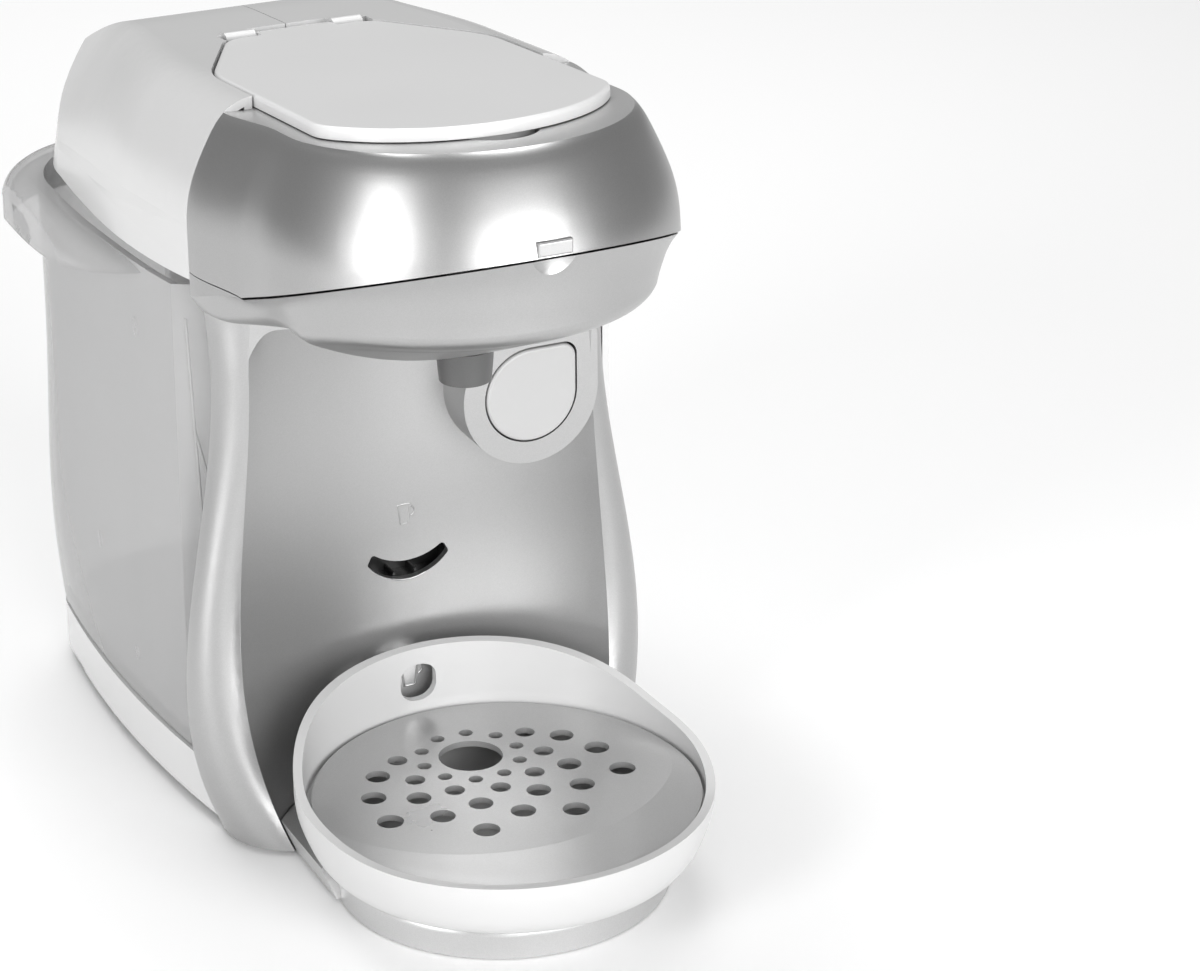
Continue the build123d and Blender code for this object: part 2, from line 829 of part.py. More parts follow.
with BuildPart() as housing_right:
    add(body_walls)
    with BuildSketch(Plane.XY):
        with Locations((seam_gap / 2, 0)):
            Rectangle(2 * run, 4 * run, align=(Align.MAX, Align.CENTER))
    extrude(amount=run, mode=Mode.SUBTRACT)
    for rib_y in rib_ys:
        add(pump_rib(rib_y))
    for place in post_places:
        add(joint_post(place))
housing_right.part.label = "housing_right"
export_step(housing_right.part, "parts/housing_right.step")

with BuildPart() as housing_left:
    add(body_walls)
    with BuildSketch(Plane.XY):
        with Locations((-seam_gap / 2, 0)):
            Rectangle(2 * run, 4 * run, align=(Align.MIN, Align.CENTER))
    extrude(amount=run, mode=Mode.SUBTRACT)
    add(recess_block(shell_t + fit_gap, recess_z + shell_t), mode=Mode.SUBTRACT)
    # short posts from the bay's wall to the seam, with the screws' holes
    with BuildSketch(Plane.YZ.offset(-seam_gap / 2)):
        with Locations(*post_places):
            Circle(boss_r)
    extrude(amount=bay_x + seam_gap / 2 + shell_t / 2)
    with BuildSketch(Plane.YZ.offset(bay_x - over)):
        with Locations(*post_places):
            Circle(screw_r + fit_gap)
    extrude(amount=over - bay_x, mode=Mode.SUBTRACT)
    with BuildSketch(Plane.YZ.offset(bay_x - over)):
        with Locations(*post_places):
            Circle(screw_head_r + fit_gap)
    extrude(amount=over + screw_head_t, mode=Mode.SUBTRACT)
    # hole for the tank's nipple
    with BuildSketch(Plane.YZ.offset(bay_x - over)):
        with Locations((outlet_y, outlet_z)):
            Circle(outlet_r + slide_gap)
    extrude(amount=shell_t + 2 * over, mode=Mode.SUBTRACT)
housing_left.part.label = "housing_left"
export_step(housing_left.part, "parts/housing_left.step")

with BuildPart() as housing_screws:
    with BuildSketch(Plane.YZ.offset(bay_x)):
        with Locations(*post_places):
            Circle(screw_head_r)
    extrude(amount=screw_head_t)
    with BuildSketch(Plane.YZ.offset(bay_x)):
        with Locations(*post_places):
            Circle(screw_r)
    extrude(amount=screw_len - bay_x - over)
housing_screws.part.label = "housing_screws"
export_step(housing_screws.part, "parts/housing_screws.step")

# Lid

with BuildPart() as lid:
    with BuildSketch(roof.offset(-lid_t)):
        add(lid_outline())
    extrude(amount=lid_t)
    fillet(lid.faces().sort_by(Axis(roof.origin, roof.z_dir))[-1].edges(), lid_edge_r)
    with BuildSketch(roof.offset(-lid_t - lid_wall_h)):
        add(lid_outline(-lid_wall_inset))
        add(lid_outline(-lid_wall_inset - lid_wall_t), mode=Mode.SUBTRACT)
    extrude(amount=lid_wall_h + lid_edge_r)
    # tongue and barrel of the hinge
    with BuildSketch(hinge_plane.offset(-barrel_half_w)):
        Circle(barrel_r)
        with BuildLine():
            Polyline(
                (0, -barrel_r),
                (lid_rear - hinge_at - lid_edge_r, hinge_drop - lid_t),
                (lid_rear - hinge_at - lid_edge_r, hinge_drop),
                (-barrel_r, hinge_drop),
                (0, barrel_r),
                close=True,
            )
        make_face()
    extrude(amount=2 * barrel_half_w)
    with BuildSketch(hinge_plane.offset(-barrel_half_w - over)):
        Circle(pin_r + pin_gap)
    extrude(amount=2 * (barrel_half_w + over), mode=Mode.SUBTRACT)
lid.part.label = "lid"
export_step(lid.part, "parts/lid.step")

with BuildPart() as hinge_pin:
    pin_half = barrel_half_w + knuckle_gap + knuckle_w - pin_end - fit_gap
    with BuildSketch(hinge_plane.offset(-pin_half)):
        Circle(pin_r)
    extrude(amount=2 * pin_half)
hinge_pin.part.label = "hinge_pin"
export_step(hinge_pin.part, "parts/hinge_pin.step")

# Pod seat: a stepped dish in a plate that hangs under the cover's rim
seat_top = rim_drop + shell_t + fit_gap
seat_at = head_axis_y - roof_y

with BuildPart() as pod_seat:
    with BuildSketch(roof.offset(-pocket_drop - seat_t)):
        add(lid_outline(-seat_inset))
    extrude(amount=pocket_drop + seat_t - seat_top)
    with BuildSketch(roof.offset(-pocket_drop)):
        add(lid_outline(-seat_inset - seat_t))
    extrude(amount=pocket_drop, mode=Mode.SUBTRACT)
    with BuildSketch(roof.offset(-pocket_drop - seat_deep - seat_t)):
        with Locations((0, seat_at)):
            Circle(seat_r + seat_t)
    extrude(amount=seat_deep + seat_t)
    with BuildSketch(roof.offset(-pocket_drop - seat_step)):
        with Locations((0, seat_at)):
            Circle(seat_r)
    extrude(amount=seat_step + over, mode=Mode.SUBTRACT)
    with BuildSketch(roof.offset(-pocket_drop - seat_deep)):
        with Locations((0, seat_at)):
            Circle(seat_step_r)
    extrude(amount=seat_deep, mode=Mode.SUBTRACT)
    with BuildSketch(facing.offset(fit_gap - body_front_y)):
        Rectangle(2 * run, 2 * run)
    extrude(amount=-run, mode=Mode.SUBTRACT)
pod_seat.part.label = "pod_seat"
export_step(pod_seat.part, "parts/pod_seat.step")

# Spout

spout_flange_z = bowl_z + shell_t + spout_pad_t + fit_gap
spout_top_z = spout_flange_z + shell_t

with BuildPart() as spout_round:
    with BuildSketch(Plane.XZ):
        with BuildLine():
            Polyline(
                (0, spout_z),
                (spout_tip_r, spout_z),
                (spout_root_r, bowl_z - fit_gap),
                (spout_neck_r, bowl_z - fit_gap),
                (spout_neck_r, spout_flange_z),
                (spout_flange_r, spout_flange_z),
                (spout_flange_r, spout_top_z),
                (port_r, spout_top_z),
                (port_r, spout_top_z + port_len),
                (0, spout_top_z + port_len),
                close=True,
            )
        make_face()
    revolve(axis=Axis.Z)
    with BuildSketch(Plane.XY.offset(spout_z - over)):
        Circle(spout_bore_r)
    extrude(amount=run, mode=Mode.SUBTRACT)

with BuildPart() as spout:
    add(spout_round.part.moved(Location((0, head_axis_y, 0))))
spout.part.label = "spout"
export_step(spout.part, "parts/spout.step")

# Button

button_core = offset(d_shape(button_r, button_corner_r), amount=-button_wall)

with BuildPart() as button:
    with BuildSketch(facing.offset(-button_y)):
        with Locations((button_x, button_z)):
            add(d_shape(button_r, button_corner_r))
    extrude(amount=-button_skirt)
    fillet(button.faces().sort_by(Axis.Y)[0].edges(), button_edge_r)
    with BuildSketch(facing.offset(-button_y - button_t)):
        with Locations((button_x, button_z)):
            add(button_core)
    extrude(amount=-button_skirt, mode=Mode.SUBTRACT)
    # stop flange behind the collar
    with BuildSketch(facing.offset(-button_y - button_skirt)):
        with Locations((button_x, button_z)):
            add(d_shape(button_r + button_gap + stop_w, button_corner_r))
            add(button_core, mode=Mode.SUBTRACT)
    extrude(amount=-stop_t)
    # stem to the piston
    with BuildSketch(facing.offset(-button_y - button_t + over)):
        with Locations((button_x, button_z)):
            Circle(stem_r)
    extrude(amount=button_y + button_t - over - piston_y - stem_in)
button.part.label = "button"
export_step(button.part, "parts/button.step")

# Pump: cylinder, piston with its seal ring, return spring, two check valves and their hoses
pump_end_y = pump_y + pump_len
port_y = pump_end_y - pump_end_t - port_z

with BuildPart() as pump_cylinder:
    with BuildSketch(facing.offset(-pump_y)):
        with Locations((button_x, button_z)):
            Circle(pump_r + pump_wall)
    extrude(amount=-pump_len)
    with BuildSketch(Plane.XY.offset(button_z - pump_r - pump_wall - port_len)):
        with Locations((button_x, port_y)):
            Circle(port_r)
    extrude(amount=2 * (pump_r + pump_wall + port_len))
    with BuildSketch(facing.offset(-pump_y + over)):
        with Locations((button_x, button_z)):
            Circle(pump_r)
    extrude(amount=-pump_len + pump_end_t - over, mode=Mode.SUBTRACT)
    with BuildSketch(Plane.XY):
        with Locations((button_x, port_y)):
            Circle(port_bore_r)
    extrude(amount=run, mode=Mode.SUBTRACT)
pump_cylinder.part.label = "pump_cylinder"
export_step(pump_cylinder.part, "parts/pump_cylinder.step")


with BuildPart() as pump_piston:
    groove_r = pump_r - 2 * seal_r - fit_gap
    with BuildSketch(facing.offset(-piston_y)):
        with Locations((button_x, button_z)):
            Circle(pump_r - pin_gap)
    extrude(amount=-piston_t)
    with BuildSketch(facing.offset(-piston_y - piston_t / 2 + seal_r + fit_gap / 2)):
        with Locations((button_x, button_z)):
            Circle(pump_r + over)
            Circle(groove_r, mode=Mode.SUBTRACT)
    extrude(amount=-2 * seal_r - fit_gap, mode=Mode.SUBTRACT)
    with BuildSketch(facing.offset(-piston_y + over)):
        with Locations((button_x, button_z)):
            Circle(stem_r + pin_gap)
    extrude(amount=-over - stem_in - fit_gap, mode=Mode.SUBTRACT)
pump_piston.part.label = "pump_piston"
export_step(pump_piston.part, "parts/pump_piston.step")

with BuildPart() as piston_seal:
    with Locations(Location((button_x, piston_y + piston_t / 2, button_z), (90, 0, 0))):
        Torus(pump_r - pin_gap - seal_r, seal_r)
piston_seal.part.label = "piston_seal"
export_step(piston_seal.part, "parts/piston_seal.step")

with BuildPart() as return_spring:
    spring_start = piston_y + piston_t + spring_wire_r + fit_gap
    spring_end = pump_end_y - pump_end_t - spring_wire_r - fit_gap
    spring_h = spring_end - spring_start
    with BuildLine() as coil:
        start = (button_x, spring_start, button_z)
        Helix(spring_h / spring_turns, spring_h, spring_r, center=start, direction=(0, 1, 0))
    with BuildSketch(Plane(origin=coil.line @ 0, z_dir=coil.line % 0)):
        Circle(spring_wire_r)
    sweep(path=coil.line, is_frenet=True)
return_spring.part.label = "return_spring"
export_step(return_spring.part, "parts/return_spring.step")

port_top_z = button_z + pump_r + pump_wall + port_len
valve_z = port_top_z - valve_grip
nipple_z = valve_z + valve_len


def valve_body():
    # check valve on the upper port, with its hose nipple on top and room for its ball
    with BuildPart() as body:
        with BuildSketch(Plane.XY.offset(valve_z)):
            with Locations((button_x, port_y)):
                Circle(valve_r)
        extrude(amount=valve_len)
        with BuildSketch(Plane.XY.offset(nipple_z)):
            with Locations((button_x, port_y)):
                Circle(port_r)
        extrude(amount=port_len)
        with BuildSketch(Plane.XY.offset(valve_z)):
            with Locations((button_x, port_y)):
                Circle(port_r + pin_gap)
        extrude(amount=valve_grip + fit_gap, mode=Mode.SUBTRACT)
        with BuildSketch(Plane.XY.offset(nipple_z - shell_t - valve_room)):
            with Locations((button_x, port_y)):
                Circle(ball_r + ball_gap)
        extrude(amount=valve_room, mode=Mode.SUBTRACT)
        with BuildSketch(Plane.XY.offset(valve_z)):
            with Locations((button_x, port_y)):
                Circle(port_bore_r)
        extrude(amount=run, mode=Mode.SUBTRACT)
    return body.part


with BuildPart() as outlet_valve:
    add(valve_body())
outlet_valve.part.label = "outlet_valve"
export_step(outlet_valve.part, "parts/outlet_valve.step")

with BuildPart() as inlet_valve:
    add(mirror(valve_body(), about=Plane.XY.offset(button_z)))
inlet_valve.part.label = "inlet_valve"
export_step(inlet_valve.part, "parts/inlet_valve.step")

# each ball rests on the rim of the bore under it
with BuildPart() as valve_balls:
    ball_rise = sqrt(ball_r**2 - port_bore_r**2) + pin_gap
    upper_ball_z = nipple_z - shell_t - valve_room + ball_rise
    lower_ball_z = 2 * button_z - nipple_z + shell_t + ball_rise
    with Locations((button_x, port_y, upper_ball_z), (button_x, port_y, lower_ball_z)):
        Sphere(ball_r)
valve_balls.part.label = "valve_balls"
export_step(valve_balls.part, "parts/valve_balls.step")


def hose(*points):
    # soft tube of straight runs and tangent arcs, straight where it slips over a nipple at each end
    runs = [Vector(after) - Vector(before) for before, after in zip(points, points[1:])]
    radii = []
    for before, after in zip(runs, runs[1:]):
        half_turn = radians(before.get_angle(after) / 2)
        radii.append(bend_share * min(before.length, after.length) / tan(half_turn))
    with BuildPart() as tube:
        with BuildLine() as path:
            FilletPolyline(*points, radius=radii)
        with BuildSketch(Plane(origin=path.line @ 0, z_dir=path.line % 0)):
            Circle(port_r + pin_gap + hose_wall)
            Circle(port_r + pin_gap, mode=Mode.SUBTRACT)
        sweep(path=path.line)
    return tube.part


socket_r = outlet_r + socket_wall + pin_gap
socket_x = bay_x + shell_t + fit_gap
socket_end_x = socket_x + socket_len

with BuildPart() as inlet_hose:
    add(hose(
        (socket_end_x + fit_gap, outlet_y, outlet_z),
        (inlet_bend_x, outlet_y, outlet_z),
        (button_x, port_y, inlet_bend_z),
        (button_x, port_y, 2 * button_z - nipple_z - fit_gap),
    ))
inlet_hose.part.label = "inlet_hose"
export_step(inlet_hose.part, "parts/inlet_hose.step")

with BuildPart() as outlet_hose:
    add(hose(
        (button_x, port_y, nipple_z + fit_gap),
        (button_x, port_y, outlet_bend_z),
        (0, head_axis_y, outlet_bend_z),
        (0, head_axis_y, spout_top_z + fit_gap),
    ))
outlet_hose.part.label = "outlet_hose"
export_step(outlet_hose.part, "parts/outlet_hose.step")

# Socket behind the bay's wall, and the water tank that plugs into it from the left

with BuildPart() as tank_socket:
    with BuildSketch(Plane.YZ.offset(socket_x)):
        with Locations((outlet_y, outlet_z)):
            Circle(socket_r)
    extrude(amount=socket_len)
    with BuildSketch(Plane.YZ.offset(socket_x)):
        with Locations((outlet_y, base_top_z)):
            Rectangle(2 * boss_r, outlet_z - base_top_z, align=(Align.CENTER, Align.MIN))
    extrude(amount=socket_len)
    with BuildSketch(Plane.YZ.offset(socket_end_x)):
        with Locations((outlet_y, outlet_z)):
            Circle(port_r)
    extrude(amount=port_len)
    # bore for the tank's nipple, wider at the mouth for the seal
    with BuildSketch(Plane.YZ.offset(socket_x)):
        with Locations((outlet_y, outlet_z)):
            Circle(outlet_r + fit_gap)
    extrude(amount=socket_len - shell_t, mode=Mode.SUBTRACT)
    with BuildSketch(Plane.YZ.offset(socket_x)):
        with Locations((outlet_y, outlet_z)):
            Circle(outlet_r + tank_seal_t + pin_gap)
    extrude(amount=tank_seal_w + fit_gap, mode=Mode.SUBTRACT)
    with BuildSketch(Plane.YZ.offset(socket_x)):
        with Locations((outlet_y, outlet_z)):
            Circle(port_bore_r)
    extrude(amount=run, mode=Mode.SUBTRACT)
tank_socket.part.label = "tank_socket"
export_step(tank_socket.part, "parts/tank_socket.step")

with BuildPart() as tank_seal:
    with BuildSketch(Plane.YZ.offset(socket_x + fit_gap)):
        with Locations((outlet_y, outlet_z)):
            Circle(outlet_r + tank_seal_t)
            Circle(outlet_r + pin_gap, mode=Mode.SUBTRACT)
    extrude(amount=tank_seal_w)
tank_seal.part.label = "tank_seal"
export_step(tank_seal.part, "parts/tank_seal.step")


def tank_block(inset=0.0, high=part_z):
    # straight walls of the tank, with its sloped front corner
    corner_x = tank_chamfer - body_foot_w + inset * (sqrt(2) - 1)
    corner_y = tank_front_y + inset
    with BuildPart() as block:
        add(lower_block(inset, low=tank_z + inset))
        with BuildSketch(Plane.XY):
            with Locations((tank_inner_x - inset, corner_y)):
                Rectangle(run, run, align=(Align.MAX, Align.MIN))
        extrude(amount=high, mode=Mode.INTERSECT)
        with BuildSketch(Plane.XY):
            with BuildLine():
                Polyline(
                    (corner_x, corner_y),
                    (corner_x - run, corner_y + run),
                    (corner_x - run, corner_y),
                    close=True,
                )
            make_face()
        extrude(amount=run, mode=Mode.SUBTRACT)
    return block.part


def lip_edge():
    # side view of all that lies above the lower edge of the tank's grip
    rear = body_rear_y + lip_rear_out
    with BuildSketch() as face:
        with BuildLine():
            Spline(
                (lip_start_y, lip_start_z),
                (lip_dip_y, lip_dip_z),
                (rear, lip_rear_z),
                tangents=((1, -lip_drop), (1, 0)),
            )
            Polyline(
                (rear, lip_rear_z),
                (run, lip_rear_z),
                (run, run),
                (lip_start_y, run),
                (lip_start_y, lip_start_z),
            )
        make_face()
    return face.sketch


def lip_block(inset=0.0):
    # outside of the round-shouldered grip along the tank's side and rear, or with an inset its inside
    front_w = body_top_w - lip_front_in - inset
    mid_w = body_top_w + body_top_belly + lip_out - inset
    rear_w = body_top_w + lip_out - inset
    corner_y = body_corner_y + lip_rear_out - inset
    rear_y = body_rear_y + lip_rear_out - inset
    corner_r = body_corner_r + lip_out - inset
    with BuildPart() as block:
        with BuildSketch(Plane.XY.offset(lip_dip_z - lip_r)):
            add(plan_outline((front_w, mid_w, rear_w), body_front_y, corner_y, rear_y, corner_r))
        extrude(amount=run)
        with BuildSketch(Plane.YZ):
            add(bay_side(-tank_gap - inset))
        extrude(amount=run, both=True, mode=Mode.INTERSECT)
        rim = block.faces().sort_by(Axis.Z)[-1].edges()
        fillet(rim.filter_by_position(Axis.Y, body_front_y + over, run), lip_r - inset)
    return block.part


with BuildPart() as tank_walls:
    add(tank_block())
    with BuildSketch(Plane.YZ):
        add(bay_side(-tank_gap))
    extrude(amount=run, both=True, mode=Mode.INTERSECT)

# hollow under the grip, closed at the grip's inner end
with BuildPart() as lip_hollow:
    add(lip_block(tank_t))
    with BuildSketch(Plane.YZ.offset(tank_inner_x - tank_t)):
        Rectangle(4 * run, 4 * run)
    extrude(amount=run, mode=Mode.SUBTRACT)

with BuildPart() as water_tank:
    add(lip_block())
    add(lip_hollow.part, mode=Mode.SUBTRACT)
    with BuildSketch(Plane.YZ):
        add(lip_edge())
    extrude(amount=run, both=True, mode=Mode.INTERSECT)
    with BuildSketch(Plane.YZ.offset(tank_inner_x)):
        Rectangle(4 * run, 4 * run)
    extrude(amount=run, mode=Mode.SUBTRACT)
    add(tank_walls.part)
    add(tank_block(tank_t), mode=Mode.SUBTRACT)
    # nipple for the socket
    with BuildSketch(Plane.YZ.offset(tank_inner_x - over)):
        with Locations((outlet_y, outlet_z)):
            Circle(outlet_r)
    extrude(amount=outlet_len + over)
    with BuildSketch(Plane.YZ.offset(tank_inner_x - tank_t - over)):
        with Locations((outlet_y, outlet_z)):
            Circle(outlet_bore_r)
    extrude(amount=outlet_len + tank_t + 2 * over, mode=Mode.SUBTRACT)
water_tank.part.label = "water_tank"
export_step(water_tank.part, "parts/water_tank.step")

# Base under the body, with its bottom plate, rubber feet and screws
base_posts = ((-post_x, post_front_y), (post_x, post_front_y), (-post_x, post_rear_y), (post_x, post_rear_y))
pad_places = ((-pad_x, pad_front_y), (pad_x, pad_front_y), (-pad_x, pad_rear_y), (pad_x, pad_rear_y))


def base_block(inset=0.0, high=base_top_z):
    # the base's outline, hollowed at the front for the column's face
    with BuildPart() as block:
        with BuildSketch(Plane.XY.offset(base_z)):
            add(body_plan(inset - base_out, 1.0, body_front_y + seam_gap + inset))
        extrude(amount=high - base_z)
        add(recess_block(shell_t + fit_gap + inset), mode=Mode.SUBTRACT)
    return block.part


with BuildPart() as base:
    add(base_block())
    # rounded lower edge, except along the joint with the front
    low_edges = base.faces().sort_by(Axis.Z)[0].edges()
    fillet(low_edges.filter_by_position(Axis.Y, body_front_y + over, run), base_edge_r)
    add(base_block(base_t, base_top_z - base_t), mode=Mode.SUBTRACT)
    with BuildSketch(Plane.XY.offset(base_z + post_t + fit_gap)):
        with Locations(*base_posts):
            Circle(boss_r)
    extrude(amount=base_top_z - base_z - post_t - fit_gap - over)
    with BuildSketch(Plane.XY.offset(base_z)):
        with Locations(*base_posts):
            Circle(screw_r + pin_gap)
    extrude(amount=screw_len + over, mode=Mode.SUBTRACT)
base.part.label = "base"
export_step(base.part, "parts/base.step")

with BuildPart() as bottom_plate:
    add(base_block(base_t + fit_gap, base_z + plate_t))
    with BuildSketch(Plane.XY.offset(base_z)):
        with Locations(*base_posts):
            Circle(boss_r + over)
    extrude(amount=post_t)
    with BuildSketch(Plane.XY.offset(base_z)):
        with Locations(*base_posts):
            Circle(screw_r + pin_gap)
    extrude(amount=post_t, mode=Mode.SUBTRACT)
    with BuildSketch(Plane.XY.offset(base_z)):
        with Locations(*base_posts):
            Circle(screw_head_r + pin_gap)
    extrude(amount=screw_head_t, mode=Mode.SUBTRACT)
    # seats of the rubber feet
    with BuildSketch(Plane.XY.offset(base_z)):
        with Locations(*pad_places):
            Circle(pad_r + pin_gap)
    extrude(amount=pad_t - base_z, mode=Mode.SUBTRACT)
bottom_plate.part.label = "bottom_plate"
export_step(bottom_plate.part, "parts/bottom_plate.step")

with BuildPart() as rubber_feet:
    with BuildSketch(Plane.XY):
        with Locations(*pad_places):
            Circle(pad_r)
    extrude(amount=pad_t)
rubber_feet.part.label = "rubber_feet"
export_step(rubber_feet.part, "parts/rubber_feet.step")

with BuildPart() as base_screws:
    with BuildSketch(Plane.XY.offset(base_z)):
        with Locations(*base_posts):
            Circle(screw_head_r)
    extrude(amount=screw_head_t)
    with BuildSketch(Plane.XY.offset(base_z)):
        with Locations(*base_posts):
            Circle(screw_r)
    extrude(amount=screw_len)
base_screws.part.label = "base_screws"
export_step(base_screws.part, "parts/base_screws.step")

# Drip tray: silver support, white bowl and grille

with BuildPart() as tray_support:
    with BuildSketch(Plane.XY):
        with Locations((0, ring_axis_y)):
            Circle(ring_r)
    extrude(amount=ring_h)
    fillet(tray_support.edges().group_by(Axis.Z)[-1], ring_edge_r)
    add(recess_block(-slide_gap, ring_h))
    with BuildSketch(Plane.XY):
        with Locations((0, ring_axis_y)):
            Circle(ring_r - ring_t)
    extrude(amount=ring_h - ring_t, mode=Mode.SUBTRACT)
    add(upright_block())
    # hook through the lower slot
    with BuildSketch(facing.offset(-recess_y + upright_t)):
        add(smile(hook_slot_z, -fit_gap))
    extrude(amount=-hook_len)
tray_support.part.label = "tray_support"
export_step(tray_support.part, "parts/tray_support.step")

with BuildPart() as bowl_round:
    add(tray_bowl_block())
    add(tray_bowl_block(bowl_wall, bowl_floor_t), mode=Mode.SUBTRACT)
    # ledge that carries the grille
    ledge_z = grille_z - grille_t - fit_gap
    with BuildSketch(Plane.XY.offset(ledge_z - ledge_t)):
        Circle(bowl_r - bowl_wall)
        Circle(grille_r - ledge_w, mode=Mode.SUBTRACT)
    extrude(amount=ledge_t)
    add(tray_bowl_block(), mode=Mode.INTERSECT)

with BuildPart() as drip_bowl:
    add(bowl_round.part.moved(Location((0, tray_axis_y, 0))))
    # rim that rises to the rear
    with BuildSketch(Plane.YZ):
        with BuildLine():
            Spline(
                (tray_axis_y - bowl_r - over, rim_front_z),
                (tray_axis_y - rim_span, rim_front_z + over),
                (tray_axis_y + rim_span, rim_side_z),
                (tray_axis_y + bowl_r + over, rim_rear_z),
                tangents=((1, 0), (1, rim_rear_slope)),
            )
            Polyline(
                (tray_axis_y + bowl_r + over, rim_rear_z),
                (tray_axis_y + bowl_r + over, run),
                (tray_axis_y - bowl_r - over, run),
                (tray_axis_y - bowl_r - over, rim_front_z),
            )
        make_face()
    extrude(amount=run, both=True, mode=Mode.SUBTRACT)
    # window in the rear wall
    with BuildSketch(facing.offset(-tray_axis_y)):
        with Locations((window_x, window_z)):
            RectangleRounded(window_w, window_h, window_corner_r)
    extrude(amount=-run, mode=Mode.SUBTRACT)
drip_bowl.part.label = "drip_bowl"
export_step(drip_bowl.part, "parts/drip_bowl.step")

with BuildPart() as grille_round:
    # flat middle, and a front crescent that rises to the bowl's rim
    with BuildSketch(Plane.XZ):
        crescent_end = crescent_r + grille_r
        end_z = grille_z + crescent_rise * grille_r
        with BuildLine():
            Polyline(
                (0, grille_z - grille_t),
                (0, grille_z),
                (crescent_r, grille_z),
                (crescent_end, end_z),
                (crescent_end, end_z - grille_t),
                (crescent_r, grille_z - grille_t),
                close=True,
            )
        make_face()
    revolve(axis=Axis.Z)

with BuildPart() as drip_grille:
    add(grille_round.part.moved(Location((0, tray_axis_y + crescent_back, 0))))
    with BuildSketch(Plane.XY):
        with Locations((0, tray_axis_y)):
            Circle(grille_r)
    extrude(amount=rim_rear_z, mode=Mode.INTERSECT)
    with BuildSketch(Plane.XY):
        with Locations((0, tray_axis_y + drain_back)):
            Circle(drain_r)
            for ring, hole, count in zip(drain_rings, drain_hole_rs, drain_counts):
                span = drain_step * (count - 1)
                with PolarLocations(ring, count, -90 - span / 2, span, endpoint=True):
                    Circle(hole)
    extrude(amount=rim_rear_z, mode=Mode.SUBTRACT)
drip_grille.part.label = "drip_grille"
export_step(drip_grille.part, "parts/drip_grille.step")

# Dark pocket behind the upper slot
insert_low_z = slot_z - slot_dip - insert_room - insert_wall
insert_h = slot_dip + slot_end_h + 2 * (insert_room + insert_wall)

with BuildPart() as slot_insert:
    with BuildSketch(facing.offset(-insert_y)):
        with Locations((0, insert_low_z)):
            Rectangle(2 * insert_half_w, insert_h, align=(Align.CENTER, Align.MIN))
    extrude(amount=-insert_len)
    with BuildSketch(facing.offset(-insert_y)):
        with Locations((0, insert_low_z + insert_wall)):
            Rectangle(
                2 * (insert_half_w - insert_wall),
                insert_h - 2 * insert_wall,
                align=(Align.CENTER, Align.MIN),
            )
    extrude(amount=insert_wall - insert_len, mode=Mode.SUBTRACT)
slot_insert.part.label = "slot_insert"
export_step(slot_insert.part, "parts/slot_insert.step")
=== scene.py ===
import json
import math

import bmesh
import bpy
import numpy as np
from mathutils import Matrix, Vector
from mathutils.bvhtree import BVHTree


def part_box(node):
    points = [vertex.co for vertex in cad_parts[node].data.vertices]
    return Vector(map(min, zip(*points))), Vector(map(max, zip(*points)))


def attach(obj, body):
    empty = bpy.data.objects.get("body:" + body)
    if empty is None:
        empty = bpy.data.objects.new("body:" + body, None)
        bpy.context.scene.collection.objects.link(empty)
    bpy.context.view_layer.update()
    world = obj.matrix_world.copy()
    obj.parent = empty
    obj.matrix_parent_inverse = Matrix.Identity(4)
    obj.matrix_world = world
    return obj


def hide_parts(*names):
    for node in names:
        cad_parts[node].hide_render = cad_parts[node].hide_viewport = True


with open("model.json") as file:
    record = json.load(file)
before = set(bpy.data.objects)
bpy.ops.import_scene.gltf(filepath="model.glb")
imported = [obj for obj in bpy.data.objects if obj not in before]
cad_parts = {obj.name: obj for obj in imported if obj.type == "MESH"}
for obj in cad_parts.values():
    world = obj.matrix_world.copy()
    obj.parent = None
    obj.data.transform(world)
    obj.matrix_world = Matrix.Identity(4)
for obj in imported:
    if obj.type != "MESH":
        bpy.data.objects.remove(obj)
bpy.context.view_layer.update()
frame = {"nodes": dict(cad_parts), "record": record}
nodes = frame["nodes"]
print("frame loaded:", len(nodes), "nodes")

mm = 0.001


# brief helpers for shader trees

def addNode(tree, kind, place=(0, 0), **values):
    node = tree.nodes.new(kind)
    node.location = place
    for key, value in values.items():
        setattr(node, key, value)
    return node


def newGroup(name, inputs, outputs):
    group = bpy.data.node_groups.new(name, "ShaderNodeTree")
    for title, kind, default in inputs:
        socket = group.interface.new_socket(name=title, in_out="INPUT", socket_type=kind)
        if default is not None:
            socket.default_value = default
    for title, kind in outputs:
        group.interface.new_socket(name=title, in_out="OUTPUT", socket_type=kind)
    start = addNode(group, "NodeGroupInput", (-900, 0))
    end = addNode(group, "NodeGroupOutput", (700, 0))
    return group, start, end


# fine moulded grain: two sizes of noise, out as a height for a bump
mouldGrainSet = {"scale": 900.0, "waviness": 0.3, "fineDetail": 2.0, "broadScale": 38.0, "broadDetail": 1.0}


